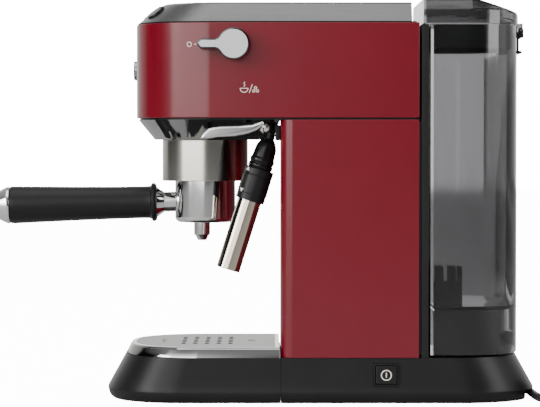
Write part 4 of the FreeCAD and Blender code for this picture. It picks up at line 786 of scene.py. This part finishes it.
def coil_points(width):
    """Turns inwards on the surface, a short climb, turns outwards on top, and one bend up into the plug."""
    low, high = CORD_POINTS[-1][2], CORD_POINTS[-1][2] + width
    outer = (COIL_HIGH.x - COIL_LOW.x) / 2 - width / 2
    per_turn, start = 15, math.radians(4)
    lower_turns, climb_turns, upper_turns = 3, 0.27, 1.267
    steps = round((lower_turns + upper_turns) * per_turn)
    points = []
    for step in range(1, steps + 1):
        turns = step / per_turn
        if turns <= lower_turns:
            radius = outer - width * turns
        else:
            radius = outer - width * lower_turns + width * (turns - lower_turns)
        climb = min(1, max(0, (turns - lower_turns) / climb_turns))
        angle = start + math.tau * turns
        points.append((COIL.x + radius * math.cos(angle), COIL.y + radius * math.sin(angle),
                       low + (high - low) * climb))
    x, y, middle = PLUG_LOW.x, (PLUG_LOW.y + PLUG_HIGH.y) / 2, (PLUG_LOW.z + PLUG_HIGH.z) / 2
    bend, leaves, bends = 0.029, 118, 8
    for step in range(bends + 1):
        share = step / bends
        angle = math.radians(leaves + (270 - leaves) * share)
        points.append((x + bend * math.cos(angle), y + bend * (1 + math.sin(angle)),
                       high + (middle - high) * share * share * (3 - 2 * share)))
    points.append((x + 0.006, y, middle))
    return points


class ESPRESSO_OT_cord(bpy.types.Operator):
    """Lay the mains cord, its coil, its plug and its strain relief"""

    bl_idname = "espresso.cord"
    bl_label = "Mains cord"

    def execute(self, context):
        width = context.scene.machine_sizes.cord_width
        route = CORD_POINTS + coil_points(width)
        line = bpy.data.curves.new("mains_cord", "CURVE")
        line.dimensions = "3D"
        spline = line.splines.new("NURBS")
        spline.points.add(len(route) - 1)
        for point, place in zip(spline.points, route):
            point.co = (*place, 1)
        spline.order_u = 3
        spline.use_endpoint_u = True
        spline.resolution_u = 8
        line.bevel_depth = width / 2
        line.bevel_resolution = 5
        line.use_fill_caps = True
        line.materials.append(finish_of("cord_black"))
        cord = bpy.data.objects.new("mains_cord", line)
        context.scene.collection.objects.link(cord)
        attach(cord, "housing")
        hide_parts("cord", "cord_coil")
        plug = dressed(copied("plug", 0.0006), "cord_black", "housing", "plug")
        gland = dressed(copied("cord_gland"), "cord_black", "housing", "cord_gland")
        return {"FINISHED"}


# ---------------------------------------------------------------- base and drip tray


FOOT = 0.0084           # height at which the base is widest
TONGUE_X, TONGUE_HALF, TONGUE_LOW, TONGUE_HIGH = 0.044, 0.006, 0.006, 0.014
SLOT_GAP = 0.0005       # clearance of a tongue in its slot
TRAY_GAP = 0.00015      # gap between the tray and the base


def flared_rings(half, straight, nose, top):
    """The base's section: an edge that turns in at the surface, and sides that lean in to the deck."""
    sizes = bpy.context.scene.machine_sizes
    way = math.copysign(1, nose - straight)
    rings = []
    for height, inset in ((0, 0.0045), (0.0006, 0.0034), (0.0018, 0.0020), (0.0036, 0.0009),
                          (0.006, 0.0002), (FOOT, 0)):
        rings.append((height, half - inset, straight, nose - way * inset))
    for share, hollow in ((0.03, 0.20), (0.08, 0.40), (0.18, 0.62), (0.45, 0.84), (1.0, 1.0)):
        lean, end = sizes.deck_lean * hollow, sizes.deck_nose * share
        rings.append((FOOT + (top - FOOT) * share, half - lean, straight, nose - way * end))
    return rings


class ESPRESSO_OT_base(bpy.types.Operator):
    """Make the base, its switch housing and feet, and the power key with its mark"""

    bl_idname = "espresso.base"
    bl_label = "Base"

    def execute(self, context):
        sizes = context.scene.machine_sizes
        half, nose, start = BASE_HIGH.x, BASE_HIGH.y + 0.0005, BASE_LOW.y
        plan = bowed_plan(half, start, nose, sizes.base_bow, sizes.base_corner)
        base = raised("base_shell", plan, flared_rings(half, start, nose, BASE_HIGH.z))
        opened(base, lambda face: face.normal.z < -0.9 and face.center.z < 0.0001)
        walled(base, sizes.base_wall)
        seat_low, seat_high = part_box("switch_housing")
        cut_box(base, (seat_low.x, seat_low.y - 0.0002, seat_low.z - 0.0002),
                (0.09, seat_high.y + 0.0002, seat_high.z + 0.0002))
        reach = TONGUE_HALF + SLOT_GAP
        for x in (TONGUE_X, -TONGUE_X):
            cut_box(base, (x - reach, start - 0.001, TONGUE_LOW - SLOT_GAP),
                    (x + reach, start + 0.005, TONGUE_HIGH + SLOT_GAP))
        cut_box(base, (-0.018, 0.150, -0.001), (0.010, 0.180, 0.0106))
        cut_box(base, (0.008, 0.155, -0.001), (0.080, 0.180, 0.0076))
        rounded(base, sizes.moulded_edge, 2)
        dressed(base, "black_plastic", "housing", "base_housing")
        dressed(copied("switch_housing", 0.0003), "black_plastic", "housing", "switch_housing")
        key = dressed(copied("power_key", 0.0007), "dark_plastic", "power_switch", "power_key",
                      look="black_plastic")
        dressed(copied("rubber_feet", 0.0003), "seal_rubber", "housing", "rubber_feet")
        y, z = (KEY_LOW.y + KEY_HIGH.y) / 2, (KEY_LOW.z + KEY_HIGH.z) / 2
        shapes = [hoop("power_ring", y, z, 0.0037, 0.0008),
                  stroke("power_bar", [(y, z - 0.0019), (y, z + 0.0019)], 0.0008)]
        printed("power_mark", shapes, key, "dark_plastic", "power_switch")
        return {"FINISHED"}


class ESPRESSO_OT_tray(bpy.types.Operator):
    """Make the drip tray, its polished rim and the grate"""

    bl_idname = "espresso.tray"
    bl_label = "Drip tray"

    def execute(self, context):
        sizes = context.scene.machine_sizes
        half, nose, back = TRAY_HIGH.x, TRAY_LOW.y, BASE_LOW.y - TRAY_GAP
        plan = bowed_plan(half, back, nose, sizes.base_bow, sizes.base_corner)
        tray = raised("drip_tray_shell", plan, flared_rings(half, back, nose, TRAY_HIGH.z))
        opened(tray, lambda face: face.normal.z > 0.9 and face.center.z > TRAY_HIGH.z - 0.0001)
        walled(tray, sizes.base_wall)
        rounded(tray, sizes.moulded_edge, 2)
        tongues = [block("tray_tongue", (x - TONGUE_HALF, back - 0.002, TONGUE_LOW),
                         (x + TONGUE_HALF, TRAY_HIGH.y, TONGUE_HIGH)) for x in (TONGUE_X, -TONGUE_X)]
        tray = joined("drip_tray_body", [tray, *tongues])
        dressed(tray, "black_plastic", "tray", "drip_tray")
        self.rim(sizes)
        dressed(copied("cup_grate"), "brushed_steel", "grate", "cup_grate", look="grate_steel")
        return {"FINISHED"}

    def rim(self, sizes):
        """A polished band that leans in and turns over to a ledge round the grate."""
        half, nose, back, low, high = RIM_HIGH.x, RIM_LOW.y, RIM_HIGH.y, RIM_LOW.z, RIM_HIGH.z
        plan = bowed_plan(half, back, nose, sizes.base_bow, sizes.base_corner)
        rings = [(low, half, back, nose), (low + 0.0012, half - 0.0001, back, nose + 0.0001)]
        for share, inset in ((0.45, 0.0012), (0.72, 0.0021), (0.88, 0.0028), (0.96, 0.0034), (1.0, 0.0044)):
            rings.append((low + (high - low) * share, half - inset, back, nose + inset))
        rings.append((high, half - 0.0068, back - 0.0032, nose + 0.0068))
        rings.append((high - 0.0016, half - 0.0068, back - 0.0032, nose + 0.0068))
        rim = raised("tray_rim_band", plan, rings)
        opened(rim, lambda face: abs(face.normal.z) > 0.9 and len(face.vertices) > 8)
        walled(rim, 0.0008)
        dressed(rim, "chrome_plastic", "tray", "tray_rim")


# ---------------------------------------------------------------- column and head


def band(name, plan, low, high, wall, edge):
    """A painted panel: a plan's line raised to a wall, with its edges rounded."""
    half, straight = plan[0]
    nose = plan[len(plan) // 2][1]
    thing = raised(name, plan, [(low, half, straight, nose), (high, half, straight, nose)], solid=False)
    apply(thing, "SOLIDIFY", thickness=wall, offset=0)
    outwards(thing)
    rounded(thing, edge)
    return thing


class ESPRESSO_OT_column(bpy.types.Operator):
    """Make the painted column and the cover behind it"""

    bl_idname = "espresso.column"
    bl_label = "Column"

    def execute(self, context):
        sizes = context.scene.machine_sizes
        half = COLUMN_HIGH.x - sizes.panel_wall / 2
        plan = flat_plan(half, COLUMN_HIGH.y, COLUMN_LOW.y + sizes.panel_wall / 2, sizes.column_corner)
        column = band("column_panel", plan, COLUMN_LOW.z, COLUMN_HIGH.z, sizes.panel_wall, sizes.panel_edge)
        dressed(column, "red_paint", "housing", "column_shell")
        dressed(copied("rear_cover", 0.0004), "black_plastic", "housing", "rear_cover")
        # The tank seat takes the darker black: painted shade inside the tank's skirt.
        dressed(copied("tank_seat", 0.0003), "black_plastic", "housing", "tank_seat", look="shade_painted_black")
        return {"FINISHED"}


class ESPRESSO_OT_head(bpy.types.Operator):
    """Make the painted head, its badge and its printed marks"""

    bl_idname = "espresso.head"
    bl_label = "Head"

    def execute(self, context):
        sizes = context.scene.machine_sizes
        middle = sizes.panel_wall / 2
        plan = bowed_plan(HEAD_HIGH.x - middle, HEAD_HIGH.y, HEAD_LOW.y + middle, sizes.head_bow - middle,
                          sizes.head_corner - middle)
        head = band("head_panel", plan, HEAD_LOW.z, HEAD_HIGH.z, sizes.panel_wall, sizes.panel_edge)
        dressed(head, "red_paint", "housing", "head_shell")
        self.badge()
        self.marks(head)
        return {"FINISHED"}

    def badge(self):
        """A blank domed disc with a raised rim."""
        radius, back, front = (BADGE_HIGH.x - BADGE_LOW.x) / 2, BADGE_HIGH.y, BADGE_LOW.y
        root = Vector((0, back, (BADGE_LOW.z + BADGE_HIGH.z) / 2))
        deep = back - front
        profile = [(0, 0), (0, radius), (deep * 0.7, radius), (deep, radius - 0.0007),
                   (deep, radius - 0.0014), (deep * 0.6, radius - 0.002), (deep * 0.72, radius * 0.4),
                   (deep * 0.75, 0)]
        disc = turned("badge_disc", root, -Y, profile)
        dressed(disc, "chrome_plastic", "housing", "front_badge")

    def marks(self, head):
        z = (KNOB_LOW.z + KNOB_HIGH.z) / 2
        shut = [hoop("shut_ring", -0.1022, z, 0.0017, 0.0006),
                stroke("shut_dash", [(-0.0977, z), (-0.0958, z)], 0.0006)]
        printed("knob_mark", shut, head, "red_paint", "housing")
        y, z = -0.0590, 0.2370
        cup = [(y + 0.0030 * math.cos(a), z + 0.0030 * math.sin(a))
               for a in (math.pi + math.pi * n / 8 for n in range(9))]
        shapes = [
            stroke("cup_bowl", cup, 0.0005),
            stroke("cup_rim", [(y - 0.0032, z), (y + 0.0032, z)], 0.0005),
            stroke("cup_steam", [(y - 0.0002, z + 0.0012), (y + 0.0007, z + 0.0024),
                                 (y - 0.0002, z + 0.0036), (y + 0.0005, z + 0.0048)], 0.0005),
            stroke("slash", [(y + 0.0038, z - 0.0036), (y + 0.0062, z + 0.0030)], 0.0005),
            hoop("drop_left", y + 0.0072, z - 0.0020, 0.0009, 0.0005),
            hoop("drop_right", y + 0.0100, z - 0.0020, 0.0009, 0.0005),
            hoop("drop_top", y + 0.0086, z + 0.0004, 0.0009, 0.0005),
        ]
        printed("steam_mark", shapes, head, "red_paint", "housing")


class ESPRESSO_OT_warming_plate(bpy.types.Operator):
    """Make the cup warming plate and the buttons on its front"""

    bl_idname = "espresso.warming_plate"
    bl_label = "Warming plate"

    def execute(self, context):
        dressed(copied("top_plate"), "satin_steel", "housing", "top_plate")
        for side in ("left", "middle", "right"):
            node = f"{side}_button"
            dressed(copied(node, 0.0003), "dark_plastic", f"{side}_key", node)
        return {"FINISHED"}


class ESPRESSO_OT_steam_knob(bpy.types.Operator):
    """Make the steam knob with its pointer"""

    bl_idname = "espresso.steam_knob"
    bl_label = "Steam knob"

    def execute(self, context):
        radius = (KNOB_HIGH.z - KNOB_LOW.z) / 2
        y, z = KNOB_HIGH.y - radius, (KNOB_LOW.z + KNOB_HIGH.z) / 2
        tip, half_arm = KNOB_LOW.y, 0.0038
        turn = math.radians(27)
        around = arc(y, z, radius, math.pi + turn, 3 * math.pi - turn, 40)
        arm = [(y - 0.0120, z + 0.0043), (y - 0.0138, half_arm + z), (tip + 0.0026, z + half_arm),
               (tip, z + 0.0012), (tip, z - 0.0012), (tip + 0.0026, z - half_arm),
               (y - 0.0138, z - half_arm), (y - 0.0120, z - 0.0043)]
        knob = closed(trace("steam_knob_body", [(KNOB_LOW.x, u, v) for u, v in around + arm]))
        thick = KNOB_HIGH.x - KNOB_LOW.x
        bpy.ops.mesh.extrude_region_move(TRANSFORM_OT_translate={"value": (thick, 0, 0)})
        outwards(knob)
        apply(knob, "BEVEL", width=0.0013, segments=2, limit_method="ANGLE", angle_limit=math.radians(60),
              use_clamp_overlap=True)
        dressed(knob, "satin_steel", "steam_control", "steam_knob", look="knob_edge")
        knob.data.materials.append(finish_of("knob_satin"))
        edit_faces(knob, lambda face: face.normal.x > 0.99)
        knob.active_material_index = 1
        bpy.ops.object.material_slot_assign()
        clear()
        return {"FINISHED"}


# ---------------------------------------------------------------- brew group and filter holder


class ESPRESSO_OT_brew_group(bpy.types.Operator):
    """Make the cover under the head and the brushed sleeve round the brew group"""

    bl_idname = "espresso.brew_group"
    bl_label = "Brew group"

    def execute(self, context):
        cover = dressed(copied("underhead_cover"), "chrome_plastic", "housing", "underhead_cover")
        # The cover's flat side faces take dark plastic: painted shade and dark reflection on the cover's
        # sides under the head.
        cover.data.materials.append(finish_of("dark_plastic"))
        edit_faces(cover, lambda face: abs(face.normal.x) > 0.95)
        cover.active_material_index = 1
        bpy.ops.object.material_slot_assign()
        clear()
        for side in (1, -1):
            self.ridge(side)
        radius, wall = (SLEEVE_HIGH.x - SLEEVE_LOW.x) / 2, 0.0013
        low, high = SLEEVE_LOW.z, SLEEVE_HIGH.z
        profile = [(low, radius - wall), (low, radius), (high, radius), (high, radius - wall)]
        sleeve = turned_ring("group_sleeve_ring", GROUP, Z, profile, 96)
        rounded(sleeve, 0.0005)
        dressed(sleeve, "brushed_steel", "housing", "group_sleeve")
        return {"FINISHED"}

    def ridge(self, side):
        """The soft rib that runs back along one side of the cover, under the head."""
        low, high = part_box("underhead_cover")
        outline = [(-0.0925, 0.1990), (-0.0895, 0.2040), (-0.0855, 0.2072), (-0.0780, 0.2086),
                   (-0.0640, 0.2090), (-0.0530, 0.2100), (-0.0470, 0.2122), (-0.0440, 0.2128),
                   (-0.0440, 0.2096), (-0.0490, 0.2056),
                   (-0.0560, 0.2030), (-0.0660, 0.2010), (-0.0790, 0.2002), (-0.0850, 0.1992)]
        rib = closed(trace("cover_ridge", [(side * (high.x - 0.002), y, z) for y, z in outline]))
        bpy.ops.mesh.extrude_region_move(TRANSFORM_OT_translate={"value": (side * 0.0045, 0, 0)})
        outwards(rib)
        apply(rib, "BEVEL", width=0.0022, segments=4, limit_method="ANGLE", angle_limit=math.radians(60),
              use_clamp_overlap=True)
        # The rib's shape is modelled, but it takes the brighter plain chrome instead of the cover's dimmed
        # chrome: a painted highlight along the rib.
        dressed(rib, "chrome_plastic", "housing", look="chrome_plate")


class ESPRESSO_OT_filter_holder(bpy.types.Operator):
    """Make the filter holder: bowl, spout, neck, grip and end cap"""

    bl_idname = "espresso.filter_holder"
    bl_label = "Filter holder"

    def execute(self, context):
        self.bowl()
        low, high, radius = SPOUT_LOW.z, SPOUT_HIGH.z, (SPOUT_HIGH.x - SPOUT_LOW.x) / 2
        profile = [(high, radius), (low + 0.0046, radius), (low + 0.0036, radius - 0.0012),
                   (low, 0.0033), (low, 0.0022), (high, 0.0022)]
        spout = turned_ring("spout_tube", SPOUT, Z, profile, 48)
        rounded(spout, 0.0004)
        dressed(spout, "chrome_plate", "filter_holder", "spout")
        self.handle()
        return {"FINISHED"}

    def bowl(self):
        """A cup that narrows to a bowl with a rounded foot, two lugs, and a drain into the spout."""
        low, high, floor, step, seat = BOWL_LOW.z, BOWL_HIGH.z, BOWL_LOW.z + 0.004, 0.1676, 0.1688
        outer, inner, cup_out, cup_in, foot = 0.0234, 0.0216, 0.0275, 0.0258, 0.0042
        profile = [(floor, 0), (floor, inner), (seat, inner), (seat, cup_in), (high, cup_in),
                   (high, cup_out), (step, cup_out), (step, outer)]
        profile += arc(low + foot, outer - foot, foot, math.pi / 2, math.pi, 8)
        bowl = turned("bowl_turned", GROUP, Z, [*profile, (low, 0)], 120)
        rounded(bowl, 0.0003)
        lug_root, lug_tip, lug_half = 0.0271, 0.0293, 0.0085
        lugs = [block("lug", (left, GROUP.y - lug_half, 0.1839), (right, GROUP.y + lug_half, 0.1875))
                for left, right in ((lug_root, lug_tip), (-lug_tip, -lug_root))]
        bowl = joined("bowl_with_lugs", [bowl, *lugs])
        clear()
        bpy.ops.mesh.primitive_cylinder_add(
            vertices=32, radius=0.0022, depth=0.02, location=(0, SPOUT.y, low))
        drain = bpy.context.object
        apply(bowl, "BOOLEAN", object=drain, operation="DIFFERENCE", solver="EXACT")
        bpy.data.objects.remove(drain)
        dressed(bowl, "chrome_plate", "filter_holder", "portafilter_bowl")

    def handle(self):
        neck = [(0.0225, 0), (0.0225, 0.0077), (0.0318, 0.0077), (0.0345, 0.0095), (0.0376, 0.0120),
                (0.0376, 0)]
        piece = turned("handle_neck_turned", HANDLE_ROOT, HANDLE_WAY, neck, 64)
        rounded(piece, 0.0004)
        dressed(piece, "chrome_plate", "filter_holder", "handle_neck")
        grip = [(0.0377, 0), (0.0377, 0.0138), (0.0392, 0.0150), (0.0412, 0.0150), (0.0424, 0.0127),
                (0.0470, 0.0124), (0.0700, 0.0126), (0.1000, 0.0132), (0.1300, 0.0140), (0.1480, 0.0145),
                (0.1515, 0.0143), (0.1519, 0)]
        piece = turned("handle_grip_turned", HANDLE_ROOT, HANDLE_WAY, grip, 64)
        rounded(piece, 0.0005)
        dressed(piece, "black_plastic", "filter_holder", "handle_grip")
        cap = [(0.1520, 0), (0.1520, 0.0142), (0.1540, 0.0144), (0.1560, 0.0135), (0.1608, 0.0110),
               (0.1609, 0.0096), (0.1604, 0)]
        piece = turned("handle_cap_turned", HANDLE_ROOT, HANDLE_WAY, cap, 64)
        rounded(piece, 0.0004)
        dressed(piece, "chrome_plate", "filter_holder", "handle_cap")


# ---------------------------------------------------------------- steam wand


class ESPRESSO_OT_steam_wand(bpy.types.Operator):
    """Make the steam wand: pivot, arm, turning collar with its arrows, and frothing sleeve"""

    bl_idname = "espresso.steam_wand"
    bl_label = "Steam wand"

    def execute(self, context):
        dressed(copied("wand_bracket", 0.0008), "black_plastic", "housing", "wand_bracket")
        dressed(copied("wand_pivot"), "chrome_plate", "steam_wand", "wand_pivot")
        self.arm()
        collar = self.collar()
        self.arrows(collar)
        profile = [(0.0245, 0.0078), (0.0245, 0.0090), (0.0800, 0.0090), (0.0800, 0.0078)]
        sleeve = turned_ring("wand_sleeve_tube", WAND_TOP, WAND_WAY, profile, 64)
        rounded(sleeve, 0.0004)
        dressed(sleeve, "brushed_steel", "steam_wand", "wand_sleeve", look="wand_steel")
        return {"FINISHED"}

    def arm(self):
        long = 0.0290
        profile = [(0, 0), (0, 0.0036), (0.0050, 0.0040), (0.0085, 0.0066), (0.0120, 0.0080),
                   (0.0200, 0.0086), (0.0212, 0.0094), (0.0232, 0.0094), (0.0242, 0.0087), (0.0250, 0.0087),
                   (0.0258, 0.0094), (0.0275, 0.0094), (0.0285, 0.0090), (long, 0.0090), (long, 0)]
        piece = turned("wand_arm_turned", WAND_TOP - WAND_WAY * (long - 0.0004), WAND_WAY, profile, 48)
        rounded(piece, 0.0004)
        dressed(piece, "dark_plastic", "steam_wand", "wand_arm")

    def collar(self):
        profile = [(0.0002, 0.0092), (0.0002, 0.0108), (0.0010, 0.01125), (0.0052, 0.01125),
                   (0.0054, 0.0109), (0.0060, 0.0109), (0.0062, 0.01125), (0.0200, 0.01125),
                   (0.0203, 0.0110), (0.0254, 0.0110), (0.0254, 0.0092)]
        piece = turned_ring("wand_collar_turned", WAND_TOP, WAND_WAY, profile, 72)
        rounded(piece, 0.0003)
        return dressed(piece, "dark_plastic", "froth_collar", "wand_collar", look="black_plastic")

    def arrows(self, collar):
        """Plain arrows that point up and down the wand."""
        radius, across = 0.0114, Vector((0, WAND_WAY.z, -WAND_WAY.y))
        shapes = []
        for name, along, flip in (("arrow_up", 0.0036, 1), ("arrow_down", 0.0178, -1)):
            places = [(along, 38), (along, 58), (along - 0.0030 * flip, 48)]
            points = []
            for down, angle in places:
                turn = math.radians(angle)
                outward = X * math.cos(turn) + across * math.sin(turn)
                points.append(WAND_TOP + WAND_WAY * down + outward * radius)
            shapes.append(closed(trace(name, points)))
        printed("collar_arrows", shapes, collar, "dark_plastic", "froth_collar")


# ---------------------------------------------------------------- water tank


class ESPRESSO_OT_water_tank(bpy.types.Operator):
    """Make the clear water tank, its lid, its carrying band and its fittings"""

    bl_idname = "espresso.water_tank"
    bl_label = "Water tank"

    def execute(self, context):
        dressed(copied("water_tank"), "smoke_clear", "tank", "water_tank")
        dressed(copied("tank_lid"), "smoke_clear", "lid", "tank_lid", look="smoke_dark")
        dressed(copied("tank_handle", 0.0003), "black_plastic", "tank", "tank_handle", look="handle_grey")
        # The filter cup takes the darker black: painted shade inside the tank.
        dressed(copied("filter_cup", 0.0002), "black_plastic", "tank", "filter_cup", look="shade_painted_black")
        dressed(copied("tank_hinge", 0.0002), "black_plastic", "tank", "tank_hinge")
        return {"FINISHED"}


# ---------------------------------------------------------------- pieces kept from the frame


class ESPRESSO_OT_carried_pieces(bpy.types.Operator):
    """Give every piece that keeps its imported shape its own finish"""

    bl_idname = "espresso.carried_pieces"
    bl_label = "Carried pieces"

    def execute(self, context):
        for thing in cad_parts.values():
            for held in thing.material_slots:
                slot = held.material.name.split(".")[0]
                held.material = finish_of(slot)
        return {"FINISHED"}


# ---------------------------------------------------------------- panel and running


class ESPRESSO_PT_machine(bpy.types.Panel):
    """The machine's pieces and their sizes"""

    bl_idname = "ESPRESSO_PT_machine"
    bl_label = "Espresso machine"
    bl_space_type = "VIEW_3D"
    bl_region_type = "UI"
    bl_category = "Espresso"

    def draw(self, context):
        for operator in STEPS:
            self.layout.operator(operator.bl_idname)
        for settings in (context.scene.machine_sizes, context.scene.machine_colours):
            for name in settings.bl_rna.properties.keys():
                if name not in ("rna_type", "name"):
                    self.layout.prop(settings, name)


STEPS = (
    ESPRESSO_OT_studio, ESPRESSO_OT_cord, ESPRESSO_OT_carried_pieces, ESPRESSO_OT_base, ESPRESSO_OT_tray,
    ESPRESSO_OT_column, ESPRESSO_OT_head, ESPRESSO_OT_warming_plate, ESPRESSO_OT_steam_knob,
    ESPRESSO_OT_brew_group, ESPRESSO_OT_filter_holder, ESPRESSO_OT_steam_wand, ESPRESSO_OT_water_tank,
)
CLASSES = (MachineSizes, MachineColours, *STEPS, ESPRESSO_PT_machine)


def register():
    for made in CLASSES:
        bpy.utils.register_class(made)
    bpy.types.Scene.machine_sizes = bpy.props.PointerProperty(type=MachineSizes)
    bpy.types.Scene.machine_colours = bpy.props.PointerProperty(type=MachineColours)


def unregister():
    del bpy.types.Scene.machine_colours
    del bpy.types.Scene.machine_sizes
    for made in reversed(CLASSES):
        bpy.utils.unregister_class(made)


def main():
    register()
    for operator in STEPS:
        group, name = operator.bl_idname.split(".")
        getattr(getattr(bpy.ops, group), name)()
    clear()


if __name__ == "__main__":
    main()
